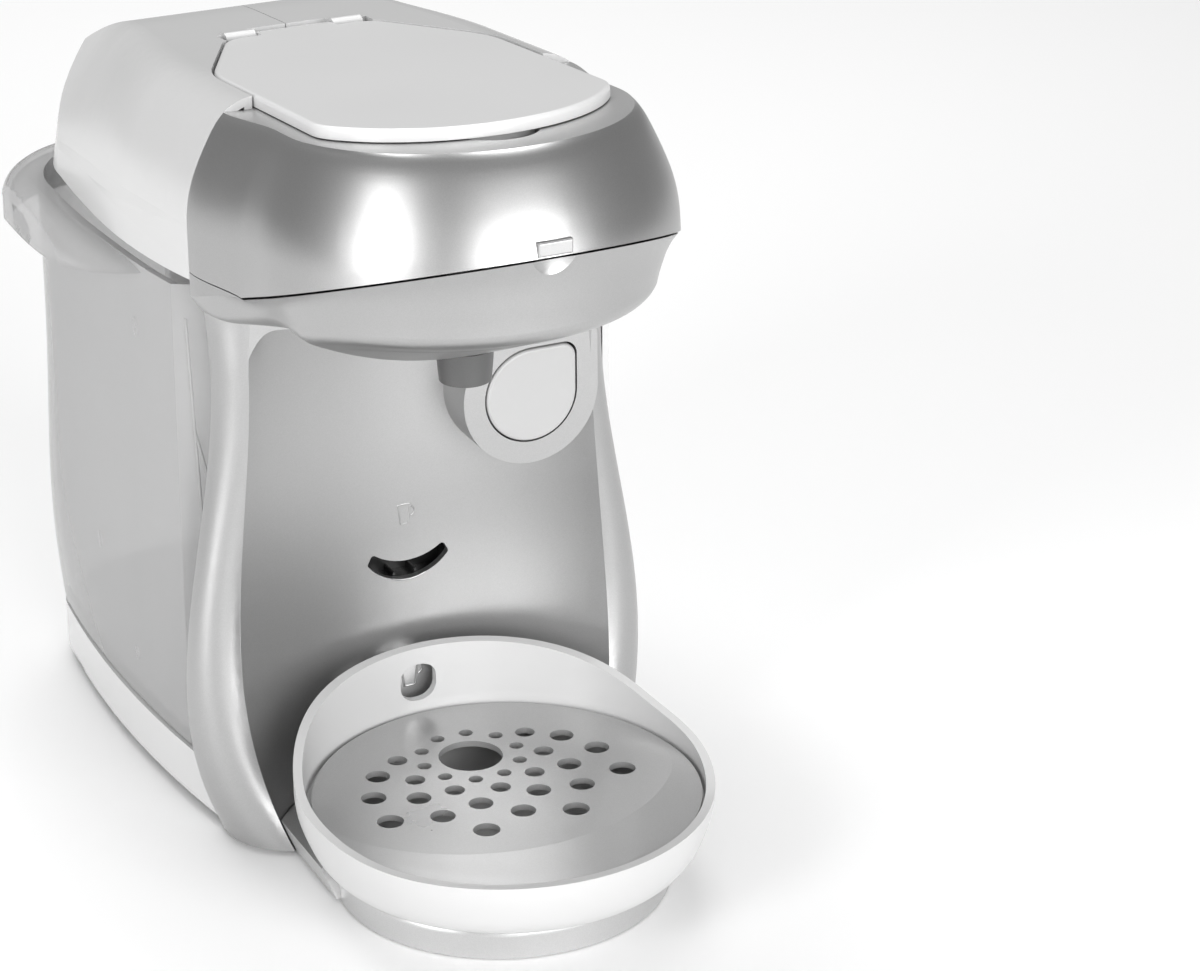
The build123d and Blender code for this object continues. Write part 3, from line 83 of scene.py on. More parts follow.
def makeMouldGrain():
    group, start, end = newGroup(
        "mouldGrain",
        [
            ("Vector", "NodeSocketVector", None),
            ("Scale", "NodeSocketFloat", mouldGrainSet["scale"]),
            ("Waviness", "NodeSocketFloat", mouldGrainSet["waviness"]),
        ],
        [("Height", "NodeSocketFloat")],
    )
    fine = addNode(group, "ShaderNodeTexNoise", (-500, 150))
    fine.inputs["Detail"].default_value = mouldGrainSet["fineDetail"]
    broad = addNode(group, "ShaderNodeTexNoise", (-500, -150))
    broad.inputs["Scale"].default_value = mouldGrainSet["broadScale"]
    broad.inputs["Detail"].default_value = mouldGrainSet["broadDetail"]
    mix = addNode(group, "ShaderNodeMix", (0, 0), data_type="FLOAT")
    links = group.links
    links.new(start.outputs["Vector"], fine.inputs["Vector"])
    links.new(start.outputs["Vector"], broad.inputs["Vector"])
    links.new(start.outputs["Scale"], fine.inputs["Scale"])
    links.new(start.outputs["Waviness"], mix.inputs["Factor"])
    links.new(fine.outputs["Fac"], mix.inputs["A"])
    links.new(broad.outputs["Fac"], mix.inputs["B"])
    links.new(mix.outputs["Result"], end.inputs["Height"])
    return group


# handling marks and dust: cloudy patches that roughen the gloss, and a little dust on upward faces
handlingSet = {
    "cloudScale": 22.0,
    "cloudDetail": 5.0,
    "speckScale": 260.0,
    "speckDetail": 3.0,
    "dustColor": (0.72, 0.71, 0.69, 1),
}


def makeHandling():
    group, start, end = newGroup(
        "handling",
        [
            ("Vector", "NodeSocketVector", None),
            ("Color", "NodeSocketColor", (0.8, 0.8, 0.8, 1)),
            ("Roughness", "NodeSocketFloat", 0.3),
            ("Smudge", "NodeSocketFloat", 0.08),
            ("Dust", "NodeSocketFloat", 0.06),
        ],
        [("Color", "NodeSocketColor"), ("Roughness", "NodeSocketFloat")],
    )
    clouds = addNode(group, "ShaderNodeTexNoise", (-650, 200))
    clouds.inputs["Scale"].default_value = handlingSet["cloudScale"]
    clouds.inputs["Detail"].default_value = handlingSet["cloudDetail"]
    swing = addNode(group, "ShaderNodeMapRange", (-450, 200))
    swing.inputs["To Min"].default_value = -1.0
    swing.inputs["To Max"].default_value = 1.0
    shift = addNode(group, "ShaderNodeMath", (-250, 200), operation="MULTIPLY")
    rough = addNode(group, "ShaderNodeMath", (0, 200), operation="ADD", use_clamp=True)
    geometry = addNode(group, "ShaderNodeNewGeometry", (-650, -250))
    split = addNode(group, "ShaderNodeSeparateXYZ", (-480, -250))
    specks = addNode(group, "ShaderNodeTexNoise", (-650, -450))
    specks.inputs["Scale"].default_value = handlingSet["speckScale"]
    specks.inputs["Detail"].default_value = handlingSet["speckDetail"]
    up = addNode(group, "ShaderNodeMath", (-300, -250), operation="MULTIPLY", use_clamp=True)
    amount = addNode(group, "ShaderNodeMath", (-120, -250), operation="MULTIPLY", use_clamp=True)
    tint = addNode(group, "ShaderNodeMix", (200, -100), data_type="RGBA")
    tint.inputs["B"].default_value = handlingSet["dustColor"]
    links = group.links
    links.new(start.outputs["Vector"], clouds.inputs["Vector"])
    links.new(start.outputs["Vector"], specks.inputs["Vector"])
    links.new(clouds.outputs["Fac"], swing.inputs["Value"])
    links.new(swing.outputs["Result"], shift.inputs[0])
    links.new(start.outputs["Smudge"], shift.inputs[1])
    links.new(shift.outputs[0], rough.inputs[0])
    links.new(start.outputs["Roughness"], rough.inputs[1])
    links.new(geometry.outputs["Normal"], split.inputs[0])
    links.new(split.outputs["Z"], up.inputs[0])
    links.new(specks.outputs["Fac"], up.inputs[1])
    links.new(up.outputs[0], amount.inputs[0])
    links.new(start.outputs["Dust"], amount.inputs[1])
    links.new(amount.outputs[0], tint.inputs["Factor"])
    links.new(start.outputs["Color"], tint.inputs["A"])
    links.new(tint.outputs["Result"], end.inputs["Color"])
    links.new(rough.outputs[0], end.inputs["Roughness"])
    return group


# metal flakes: tiny cells with their own brightness, out as a colour factor and a bump height
def makeFlakes():
    group, start, end = newGroup(
        "paintFlakes",
        [
            ("Vector", "NodeSocketVector", None),
            ("Color", "NodeSocketColor", (0.6, 0.6, 0.6, 1)),
            ("Size", "NodeSocketFloat", 2600.0),
            ("Sparkle", "NodeSocketFloat", 0.1),
        ],
        [("Color", "NodeSocketColor"), ("Height", "NodeSocketFloat")],
    )
    cells = addNode(group, "ShaderNodeTexVoronoi", (-550, 0))
    grey = addNode(group, "ShaderNodeSeparateColor", (-350, 100))
    spread = addNode(group, "ShaderNodeMapRange", (-150, 100))
    spread.inputs["To Min"].default_value = -1.0
    spread.inputs["To Max"].default_value = 1.0
    strength = addNode(group, "ShaderNodeMath", (50, 100), operation="MULTIPLY")
    gain = addNode(group, "ShaderNodeMath", (200, 100), operation="ADD")
    gain.inputs[1].default_value = 1.0
    shade = addNode(group, "ShaderNodeVectorMath", (400, 0), operation="SCALE")
    links = group.links
    links.new(start.outputs["Vector"], cells.inputs["Vector"])
    links.new(start.outputs["Size"], cells.inputs["Scale"])
    links.new(cells.outputs["Color"], grey.inputs[0])
    links.new(grey.outputs[0], spread.inputs["Value"])
    links.new(spread.outputs["Result"], strength.inputs[0])
    links.new(start.outputs["Sparkle"], strength.inputs[1])
    links.new(strength.outputs[0], gain.inputs[0])
    links.new(start.outputs["Color"], shade.inputs[0])
    links.new(gain.outputs[0], shade.inputs["Scale"])
    links.new(shade.outputs[0], end.inputs["Color"])
    links.new(grey.outputs[1], end.inputs["Height"])
    return group


mouldGrain = makeMouldGrain()
handling = makeHandling()
paintFlakes = makeFlakes()


def plasticMaterial(name, look):
    # moulded plastic: handling marks into colour and roughness, grain into the bump
    material = bpy.data.materials.new(name)
    material.use_nodes = True
    tree = material.node_tree
    shader = tree.nodes["Principled BSDF"]
    shader.inputs["Metallic"].default_value = look.get("metallic", 0.0)
    shader.inputs["IOR"].default_value = look.get("ior", 1.49)
    shader.inputs["Coat Weight"].default_value = look.get("coat", 0.0)
    shader.inputs["Coat Roughness"].default_value = look.get("coatRoughness", 0.1)
    shader.inputs["Transmission Weight"].default_value = look.get("clear", 0.0)
    place = addNode(tree, "ShaderNodeTexCoord", (-1300, 0))
    marks = addNode(tree, "ShaderNodeGroup", (-500, 150), node_tree=handling)
    marks.inputs["Color"].default_value = (*look["color"], 1)
    marks.inputs["Roughness"].default_value = look["roughness"]
    marks.inputs["Smudge"].default_value = look.get("smudge", 0.05)
    marks.inputs["Dust"].default_value = look.get("dust", 0.05)
    grain = addNode(tree, "ShaderNodeGroup", (-500, -250), node_tree=mouldGrain)
    grain.inputs["Scale"].default_value = look.get("grainScale", 900.0)
    grain.inputs["Waviness"].default_value = look.get("waviness", 0.3)
    bump = addNode(tree, "ShaderNodeBump", (-250, -250))
    bump.inputs["Strength"].default_value = look.get("grain", 0.05)
    bump.inputs["Distance"].default_value = 0.3 * mm
    links = tree.links
    links.new(place.outputs["Object"], marks.inputs["Vector"])
    links.new(place.outputs["Object"], grain.inputs["Vector"])
    if look.get("flakes"):
        flakes = addNode(tree, "ShaderNodeGroup", (-850, 150), node_tree=paintFlakes)
        flakes.inputs["Color"].default_value = (*look["color"], 1)
        flakes.inputs["Size"].default_value = look.get("flakeSize", 2600.0)
        flakes.inputs["Sparkle"].default_value = look["flakes"]
        links.new(place.outputs["Object"], flakes.inputs["Vector"])
        links.new(flakes.outputs["Color"], marks.inputs["Color"])
    if look.get("clearFace"):
        # thin clear wall: nearly clear where it is seen square on and dense along its edges, where painted shade
        # also darkens its colour towards a dark grey
        slant = addNode(tree, "ShaderNodeLayerWeight", (-500, 500))
        slant.inputs["Blend"].default_value = look["edgeBlend"]
        density = addNode(tree, "ShaderNodeMapRange", (-250, 500))
        density.inputs["To Min"].default_value = look["clearFace"]
        density.inputs["To Max"].default_value = look["clearEdge"]
        shade = addNode(tree, "ShaderNodeMix", (-100, 250), data_type="RGBA")
        shade.inputs["B"].default_value = (*look["paintedEdgeShade"], 1)
        links.new(slant.outputs["Facing"], density.inputs["Value"])
        links.new(density.outputs["Result"], shader.inputs["Alpha"])
        links.new(slant.outputs["Facing"], shade.inputs["Factor"])
        links.new(marks.outputs["Color"], shade.inputs["A"])
        links.new(shade.outputs["Result"], shader.inputs["Base Color"])
    else:
        links.new(marks.outputs["Color"], shader.inputs["Base Color"])
    links.new(marks.outputs["Roughness"], shader.inputs["Roughness"])
    links.new(grain.outputs["Height"], bump.inputs["Height"])
    links.new(bump.outputs["Normal"], shader.inputs["Normal"])
    return material


looks = {
    "housingWhite": {"color": (0.64, 0.64, 0.64), "roughness": 0.24, "coat": 0.35, "grain": 0.02, "waviness": 0.5},
    # the lid, bowl and button whites are lit and shaded copies of the housing's white plastic: the lid's is
    # lighter as painted light, the bowl's and the button's darker as painted shade
    "lidWhitePaintedLight": {"color": (0.76, 0.76, 0.76), "roughness": 0.3, "coat": 0.3, "grain": 0.02, "waviness": 0.5},
    "bowlWhitePaintedShade": {"color": (0.57, 0.57, 0.57), "roughness": 0.3, "coat": 0.2, "grain": 0.02, "waviness": 0.5},
    "buttonWhitePaintedShade": {"color": (0.42, 0.42, 0.42), "roughness": 0.34, "coat": 0.15, "grain": 0.02, "waviness": 0.5},
    "silverPaint": {
        "color": (0.44, 0.44, 0.44), "metallic": 0.9, "roughness": 0.33, "smudge": 0.03, "dust": 0.02,
        "flakes": 0.05, "flakeSize": 7000.0, "grain": 0.015, "coat": 0.1, "coatRoughness": 0.25,
    },
    # the tray support's silver is a lighter copy of the silver paint, as painted light
    "footSilverPaintedLight": {
        "color": (0.60, 0.60, 0.60), "metallic": 0.85, "roughness": 0.36, "smudge": 0.03, "dust": 0.02,
        "flakes": 0.05, "flakeSize": 7000.0, "grain": 0.015, "coat": 0.1, "coatRoughness": 0.25,
    },
    "coverPaint": {
        "color": (0.48, 0.48, 0.48), "metallic": 1.0, "roughness": 0.37, "smudge": 0.03, "dust": 0.02,
        "flakes": 0.05, "flakeSize": 7000.0, "grain": 0.012, "coat": 0.1, "coatRoughness": 0.2,
    },
    "grilleSilver": {
        "color": (0.46, 0.46, 0.46), "metallic": 0.55, "roughness": 0.3, "smudge": 0.08, "dust": 0.02,
        "flakes": 0.05, "flakeSize": 6000.0, "grain": 0.02, "coat": 0.25, "coatRoughness": 0.2,
    },
    "spoutGrey": {
        "color": (0.10, 0.10, 0.10), "metallic": 0.3, "roughness": 0.42, "flakes": 0.04, "flakeSize": 6000.0,
        "grain": 0.02,
    },
    "darkPlastic": {"color": (0.022, 0.022, 0.022), "roughness": 0.22, "grain": 0.04},
    "innerPlastic": {"color": (0.62, 0.62, 0.61), "roughness": 0.4, "grain": 0.06},
    # the tank's colour darkens towards its slantwise seen edges as painted shade
    "clearTank": {
        "color": (0.66, 0.66, 0.66), "roughness": 0.12, "smudge": 0.03, "dust": 0.0, "grain": 0.02,
        "waviness": 0.8, "coat": 0.4, "coatRoughness": 0.04, "clearFace": 0.36, "clearEdge": 0.95,
        "paintedEdgeShade": (0.18, 0.18, 0.18), "edgeBlend": 0.28,
    },
    "milkyHose": {"color": (0.8, 0.8, 0.79), "roughness": 0.35, "clear": 0.4, "dust": 0.0},
    "blackRubber": {"color": (0.03, 0.03, 0.03), "roughness": 0.7, "grain": 0.15},
    "steel": {"color": (0.6, 0.6, 0.61), "metallic": 1.0, "roughness": 0.28},
}
materials = {name: plasticMaterial(name, look) for name, look in looks.items()}

finishOfSlot = {
    "white_plastic": "housingWhite",
    "silver_plastic": "silverPaint",
    "dark_plastic": "darkPlastic",
    "inner_plastic": "innerPlastic",
    "clear_plastic": "clearTank",
    "hose_plastic": "milkyHose",
    "seal_rubber": "blackRubber",
    "foot_rubber": "blackRubber",
    "spring_steel": "steel",
    "screw_steel": "steel",
}
finishOfNode = {
    "head_cover": "coverPaint",
    "drip_grille": "grilleSilver",
    # bowl, lid and button take the painted light and painted shade copies of the white plastic
    "drip_bowl": "bowlWhitePaintedShade",
    "lid": "lidWhitePaintedLight",
    # the tray support takes the lighter copy of the silver paint, as painted light
    "tray_support": "footSilverPaintedLight",
    "button": "buttonWhitePaintedShade",
    "spout": "spoutGrey",
}
slotOfNode = {entry["node"]: entry["material_slot"] for entry in frame["record"]["subparts"]}
finishOfAll = {node: finishOfNode.get(node, finishOfSlot[slot]) for node, slot in slotOfNode.items()}
for node, finish in finishOfAll.items():
    nodes[node].data.materials.clear()
    nodes[node].data.materials.append(materials[finish])
print("materials set on the nodes")


# mesh helpers

def ramp(value, low, high):
    # smooth step from 0 at low to 1 at high
    share = np.clip((value - low) / (high - low), 0, 1)
    return share * share * (3 - 2 * share)


def gridFaces(rows, columns, closedRows=False, closedColumns=False):
    # quads between neighbouring points of a grid that is stored row by row
    i = np.arange(rows if closedRows else rows - 1)[:, None]
    j = np.arange(columns if closedColumns else columns - 1)[None, :]
    nextI, nextJ = (i + 1) % rows, (j + 1) % columns
    corners = (i * columns + j, i * columns + nextJ, nextI * columns + nextJ, nextI * columns + j)
    return np.stack(np.broadcast_arrays(*corners), axis=-1).reshape(-1, 4)


def putPiece(name, points, faces, body, finish, slot, sharp=40):
    # a piece in millimetres becomes an object in metres that rides on a body
    mesh = bpy.data.meshes.new(name)
    mesh.from_pydata((np.asarray(points) * mm).tolist(), [], faces)
    skin = bmesh.new()
    skin.from_mesh(mesh)
    bmesh.ops.recalc_face_normals(skin, faces=skin.faces)
    skin.to_mesh(mesh)
    skin.free()
    addPiece(name, mesh, body, finish, sharp)


def addPiece(name, mesh, body, finish, sharp=40):
    mesh.materials.clear()
    mesh.materials.append(materials[finish])
    mesh.shade_smooth()
    mesh.set_sharp_from_angle(angle=math.radians(sharp))
    piece = bpy.data.objects.new(name, mesh)
    bpy.context.scene.collection.objects.link(piece)
    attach(piece, body)
    return piece


def carry(path, profile, up, closed=False):
    # profile carried along a path: each profile point (across, out) is laid off from the path point along
    # the sideways direction (tangent x up) and along up; returns points and faces with flat ends
    path = np.asarray(path, float)
    up = np.broadcast_to(np.asarray(up, float), path.shape)
    if closed:
        tangent = np.roll(path, -1, axis=0) - np.roll(path, 1, axis=0)
    else:
        tangent = np.gradient(path, axis=0)
    tangent /= np.linalg.norm(tangent, axis=1, keepdims=True)
    side = np.cross(tangent, up)
    side /= np.linalg.norm(side, axis=1, keepdims=True)
    rise = np.cross(side, tangent)
    profile = np.asarray(profile, float)
    grid = path[:, None] + side[:, None] * profile[None, :, :1] + rise[:, None] * profile[None, :, 1:]
    rows, columns = grid.shape[:2]
    faces = gridFaces(rows, columns, closedRows=closed, closedColumns=True).tolist()
    if not closed:
        faces.append(list(range(columns)))
        faces.append([(rows - 1) * columns + k for k in range(columns)])
    return grid.reshape(-1, 3), faces


def join(parts):
    # several point-and-face sets as one
    points, faces, start = [], [], 0
    for somePoints, someFaces in parts:
        points.append(somePoints)
        faces.extend([[index + start for index in face] for face in someFaces])
        start += len(somePoints)
    return np.concatenate(points), faces


def facing(nodeName, direction):
    # tool that drops points onto a node's skin along a direction
    mesh = bpy.data.objects[nodeName].data
    corners = [vertex.co[:] for vertex in mesh.vertices]
    tree = BVHTree.FromPolygons(corners, [face.vertices[:] for face in mesh.polygons])

    def drop(points):
        hits = [tree.ray_cast(Vector(point) * mm, Vector(direction))[0] for point in np.asarray(points).tolist()]
        return np.array([tuple(hit) if hit else (np.nan,) * 3 for hit in hits]) / mm

    return drop


def readRows(items, name, width=3):
    # values of a mesh's elements as rows
    values = np.empty(len(items) * width, dtype=np.float32)
    items.foreach_get(name, values)
    return values.reshape(-1, width).astype(float)


# head: the cover and the silver front, drawn in round the head's front and domed underneath

head = {
    "axisY": -59.0,
    "seamY": -19.0,
    "fullY": -48.0,
    "narrowFrom": 43.0,
    "narrowTo": 50.0,
    "narrowing": 4.0,
    "sideTo": 60.0,
    "sideNarrowing": 1.1,
    "partGap": 0.55,
    "partGapFrom": 0.5,
    "partGapTo": 9.0,
    "rimIn": 0.6,
    "rimFrom": 3.0,
    "rimTo": 14.0,
    "frontShare": 0.6,
    "noseReach": 62.0,
    "nosePower": 4,
    "partZ": 168.0,
    "partBendY": -45.0,
    "partSlope": 0.36,
    "coverRise": 40.0,
    "bottomZ": 150.5,
    "bottomBendY": -67.0,
    "bottomSlope": 0.44,
    "domeRise": 12.0,
    "domeAt": 48.7,
    "domePower": 2.3,
    "domeFrom": -22.0,
    "domeTo": -58.0,
    "domeLeast": 0.25,
    "columnFrom": 140.0,
    "columnTo": 152.0,
    "domeColumnTo": 149.0,
    "mostRise": 0.8,
    "foremost": -200.0,
    "longestEdge": 3.5,
}


def shapeHead(points, dome):
    # narrowing: points beyond a lid's width move towards the head's axis, by up to 5 mm at the sides and less
    # at the nose, and down along the sloped parting plane; without dome the lower edge lifts by the parting gap;
    # dome: the bottom rises towards the sides by a power of the distance from the middle, with the wall above it
    # squeezed in proportion, and the rim stands in a little under the cover
    x, y, z = points.T.copy()
    ahead = np.clip(head["axisY"] - y, 0, None)
    reach = np.hypot(x, ahead)
    nose = np.clip(ahead / head["noseReach"], 0, 1) ** head["nosePower"]
    along = ramp(-y, -head["seamY"], -head["fullY"])
    onColumn = np.where(y > head["partBendY"], ramp(z, head["columnFrom"], head["columnTo"]), 1.0)
    inward = head["narrowing"] * ramp(reach, head["narrowFrom"], head["narrowTo"])
    inward = inward + head["sideNarrowing"] * ramp(reach, head["narrowTo"], head["sideTo"])
    inward = inward * (1 - (1 - head["frontShare"]) * nose) * along * onColumn
    share = inward / np.maximum(reach, 1)
    back = ahead * share
    part = head["partZ"] + head["partSlope"] * np.clip(head["partBendY"] - y, 0, None)
    newX, newY = x - x * share, y + back
    newZ = z - head["partSlope"] * back * (1 - np.clip((z - part) / head["coverRise"], 0, 1))
    part = head["partZ"] + head["partSlope"] * np.clip(head["partBendY"] - newY, 0, None)
    if not dome:
        newZ = newZ + head["partGap"] * (1 - ramp(newZ - part, head["partGapFrom"], head["partGapTo"])) * along
    else:
        bottom = head["bottomZ"] + head["bottomSlope"] * np.clip(head["bottomBendY"] - newY, 0, None)
        depth = np.clip((part - newZ) / (part - bottom), 0, 1)
        spread = head["domeLeast"] + (1 - head["domeLeast"]) * ramp(-newY, -head["domeFrom"], -head["domeTo"])
        rise = head["domeRise"] * (np.abs(newX) / head["domeAt"]) ** head["domePower"] * spread
        rise = np.minimum(rise, head["mostRise"] * (part - bottom))
        rim = head["rimIn"] * (1 - ramp(part - newZ, head["rimFrom"], head["rimTo"])) * along
        slim = 1 - rim / np.maximum(np.hypot(newX, np.clip(head["axisY"] - newY, 0, None)), 1)
        newZ = newZ + rise * depth * ramp(newZ, head["columnFrom"], head["domeColumnTo"])
        newX = newX * slim
        newY = np.where(newY < head["axisY"], head["axisY"] + (newY - head["axisY"]) * slim, newY)
    return np.stack([newX, newY, newZ], axis=1)


# weld distance and test step in millimetres, rounds of dividing, and how far along x a normal may point before
# the other helper axis is taken
dressing = {"weld": 0.02, "mostCuts": 6, "step": 0.02, "pickBelow": 0.8}


def turnNormals(shape, points, normals):
    # a normal follows the change of shape: two short steps across it are reshaped, and their cross product
    # is the new normal
    step = dressing["step"]
    pick = np.where(np.abs(normals[:, :1]) < dressing["pickBelow"], [[1.0, 0, 0]], [[0, 1.0, 0]])
    across = np.cross(normals, pick)
    across /= np.maximum(np.linalg.norm(across, axis=1, keepdims=True), 1e-9)
    along = np.cross(normals, across)
    start = shape(points)
    turned = np.cross(shape(points + step * across) - start, shape(points + step * along) - start)
    return turned / np.maximum(np.linalg.norm(turned, axis=1, keepdims=True), 1e-12)


def dress(nodeName, pieceName, shape, lowest, frontmost, rearmost, longest, body="housing", level=None):
    # welded copy of a node's mesh in a new shape; its long edges are divided where the shape changes; faces that
    # look up by more than the level share are flat and take their own normal
    source = nodes[nodeName].data.copy()
    normals = readRows(source.corner_normals, "vector").astype(np.float32).ravel()
    source.attributes.new("cadNormal", "FLOAT_VECTOR", "CORNER").data.foreach_set("vector", normals)
    skin = bmesh.new()
    skin.from_mesh(source)
    bpy.data.meshes.remove(source)
    bmesh.ops.remove_doubles(skin, verts=skin.verts, dist=dressing["weld"] * mm)
    for turn in range(dressing["mostCuts"]):
        long = [
            edge for edge in skin.edges
            if edge.calc_length() > longest * mm and max(vertex.co.z for vertex in edge.verts) > lowest * mm
            and min(vertex.co.y for vertex in edge.verts) < rearmost * mm
            and max(vertex.co.y for vertex in edge.verts) > frontmost * mm
        ]
        if not long:
            break
        bmesh.ops.subdivide_edges(skin, edges=long, cuts=1)
        bmesh.ops.triangulate(skin, faces=[face for face in skin.faces if len(face.verts) > 3])
    mesh = bpy.data.meshes.new(pieceName)
    skin.to_mesh(mesh)
    skin.free()
    places = readRows(mesh.vertices, "co") / mm
    mesh.vertices.foreach_set("co", (shape(places) * mm).astype(np.float32).ravel())
    normals = readRows(mesh.attributes["cadNormal"].data, "vector")
    mesh.attributes.remove(mesh.attributes["cadNormal"])
    corners = np.empty(len(mesh.loops), dtype=np.int32)
    mesh.loops.foreach_get("vertex_index", corners)
    turned = turnNormals(shape, places[corners], normals)
    mesh.update()
    if level:
        counts = np.empty(len(mesh.polygons), dtype=np.int32)
        mesh.polygons.foreach_get("loop_total", counts)
        flat = np.repeat(readRows(mesh.polygons, "normal"), counts, axis=0)
        turned = np.where(flat[:, 2:] > level, flat, turned)
    piece = addPiece(pieceName, mesh, body, finishOfAll[nodeName], sharp=180)
    mesh.normals_split_custom_set(turned.tolist())
    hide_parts(nodeName)
    print(pieceName, len(mesh.polygons), "faces")


headArea = (head["columnFrom"], head["foremost"], head["seamY"], head["longestEdge"])
dress("head_cover", "coverShell", lambda points: shapeHead(points, dome=False), *headArea)
dress("front_housing", "frontShell", lambda points: shapeHead(points, dome=True), *headArea)


# rear of the body: the white halves and the tank swell below and lean in towards the roof, most at the corners

rear = {
    "heights": (0, 16, 38, 60, 80, 99, 131, 150, 162, 178, 190, 200, 215),
    "housing": (0, 0.7, 3.3, 4.2, 3.8, 2.4, 0, -1.3, -2.6, -6.2, -9.3, -11.5, -12.0),
    "tank": (0, 0.7, 3.3, 4.2, 3.8, 3.0, 2.2, 3.8, 3.0, 2.0, 2.0, 2.0, 2.0),
    "swellX": 0.8,
    "swellY": 0.65,
    "sideFrom": 20.0,
    "sideTo": 54.0,
    "rearFrom": 30.0,
    "rearTo": 112.0,
    "endFrom": 88.0,
    "endTo": 126.0,
    "tankX": -72.2,
    "tankEndFrom": 118.0,
    "tankEndTo": 138.0,
    "rearmost": 132.0,
    "rearGive": 0.5,
    "topZ": 215.0,
    "fitPoints": 60,
    "fitOrder": 7,
    "riseFrom": 8.0,
    "riseTo": 24.0,
    "lowest": 10.0,
    "hindmost": 200.0,
    "longestEdge": 6.0,
}


def shapeRear(points, row):
    # at each height the side moves out by a share of a smoothed width curve, fading towards the front and the
    # middle, and the end moves back by another share; the curve is a polynomial fitted through its heights
    x, y, z = points.T.copy()
    knots = np.linspace(0, rear["topZ"], rear["fitPoints"])
    curve = np.polyfit(knots, np.interp(knots, rear["heights"], rear[row]), rear["fitOrder"])
    swell = np.polyval(curve, np.clip(z, 0, rear["topZ"])) * ramp(z, rear["riseFrom"], rear["riseTo"])
    toRear = ramp(y, rear["rearFrom"], rear["rearTo"])
    toSide = ramp(np.abs(x), rear["sideFrom"], rear["sideTo"])
    newX = x + np.sign(x) * rear["swellX"] * swell * toRear * toSide
    toEnd = ramp(y, rear["endFrom"], rear["endTo"])
    if row == "tank":
        toEnd = toEnd * (1 - ramp(y, rear["tankEndFrom"], rear["tankEndTo"])) * toSide
        newX = np.maximum(newX, rear["tankX"])
    newY = y + rear["swellY"] * swell * toEnd
    if row == "housing":
        newY = np.minimum(newY, rear["rearmost"] + rear["rearGive"] * np.clip(newY - rear["rearmost"], 0, None))
    return np.stack([newX, newY, z], axis=1)


rearArea = (rear["lowest"], rear["rearFrom"], rear["hindmost"], rear["longestEdge"])
dress("housing_left", "leftHalf", lambda points: shapeRear(points, "housing"), *rearArea)
dress("housing_right", "rightHalf", lambda points: shapeRear(points, "housing"), *rearArea)
dress("water_tank", "tankShell", lambda points: shapeRear(points, "tank"), *rearArea, body="water_tank")


# drip tray: the bowl is slimmer above its knee and its rim lies lower at the sides and the rear; the grille
# is drawn in at its edge to suit

tray = {
    "axisY": -82.0,
    "rearY": -22.0,
    "slimX": 0.042,
    "slimY": 0.029,
    "slimFrom": 6.0,
    "slimTo": 30.0,
    "wallFrom": 27.0,
    "rimDrop": 6.4,
    "dropFrom": 28.5,
    "dropTo": 42.0,
    "rimTop": 52.8,
    "sidePower": 1.4,
    "rearPower": 3.0,
    "supportDrop": 8.4,
    "supportFrom": 33.5,
    "supportTop": 49.0,
    "grilleFrom": 46.0,
    "grilleTo": 55.5,
    "grilleSide": 2.3,
    "grilleFront": 1.5,
    "levelShare": 0.999,
    "foremost": -200.0,
    "hindmost": 200.0,
    "longestEdge": 3.5,
}


def rimLine():
    # height of the bowl's rim at each distance from the front: the running maximum of its points
    places = readRows(nodes["drip_bowl"].data.vertices, "co") / mm
    places = places[np.argsort(places[:, 1])]
    return places[:, 1], np.maximum.accumulate(places[:, 2])


rimY, rimZ = rimLine()


def shapeBowl(points):
    # width and length shrink above the knee; a point of the wall sinks by the rim's drop times a power of its
    # height between the grille and the rim, so that the window near the grille stays where it is
    x, y, z = points.T.copy()
    above = ramp(z, tray["slimFrom"], tray["slimTo"])
    rim = np.interp(y, rimY, rimZ)
    drop = tray["rimDrop"] * ramp(rim, tray["dropFrom"], tray["dropTo"])
    high = np.clip((z - tray["wallFrom"]) / np.maximum(rim - tray["wallFrom"], 1), 0, 1)
    power = np.interp(rim, (tray["dropTo"], tray["rimTop"]), (tray["sidePower"], tray["rearPower"]))
    newX = x * (1 - tray["slimX"] * above)
    newY = tray["rearY"] + (y - tray["rearY"]) * (1 - tray["slimY"] * above)
    return np.stack([newX, newY, z - drop * high ** power], axis=1)


def shapeGrille(points):
    # outside a circle the points move in towards the axis, by one amount at the sides and another at the front
    x, y, z = points.T.copy()
    far = np.maximum(np.hypot(x, y - tray["axisY"]), 1)
    aside = (x / far) ** 2
    ahead = np.clip((tray["axisY"] - y) / far, 0, 1) ** 2
    inward = tray["grilleSide"] * aside + tray["grilleFront"] * ahead
    share = 1 - inward * ramp(far, tray["grilleFrom"], tray["grilleTo"]) / far
    return np.stack([x * share, tray["axisY"] + (y - tray["axisY"]) * share, z], axis=1)


def shapeSupport(points):
    # the upright's top sinks with the rim in front of it
    x, y, z = points.T.copy()
    return np.stack([x, y, z - tray["supportDrop"] * ramp(z, tray["supportFrom"], tray["supportTop"])], axis=1)


trayArea = (tray["foremost"], tray["hindmost"], tray["longestEdge"])
dress("drip_bowl", "bowlShell", shapeBowl, 0.0, *trayArea, body="drip_bowl")
dress("tray_support", "traySupport", shapeSupport, tray["supportFrom"], *trayArea, body="tray_support")
dress("drip_grille", "grillePlate", shapeGrille, 0.0, *trayArea, body="drip_grille", level=tray["levelShare"])

onFront = facing("front_housing", (0, 1, 0))
onSupport = facing("traySupport", (0, 1, 0))
onTank = facing("tankShell", (1, 0, 0))

# small marks: a plain raised cup over the slot and on the support behind the bowl's window

halfRound = [(-1, -0.4), (-1, 0.35), (-0.55, 0.85), (0, 1), (0.55, 0.85), (1, 0.35), (1, -0.4)]

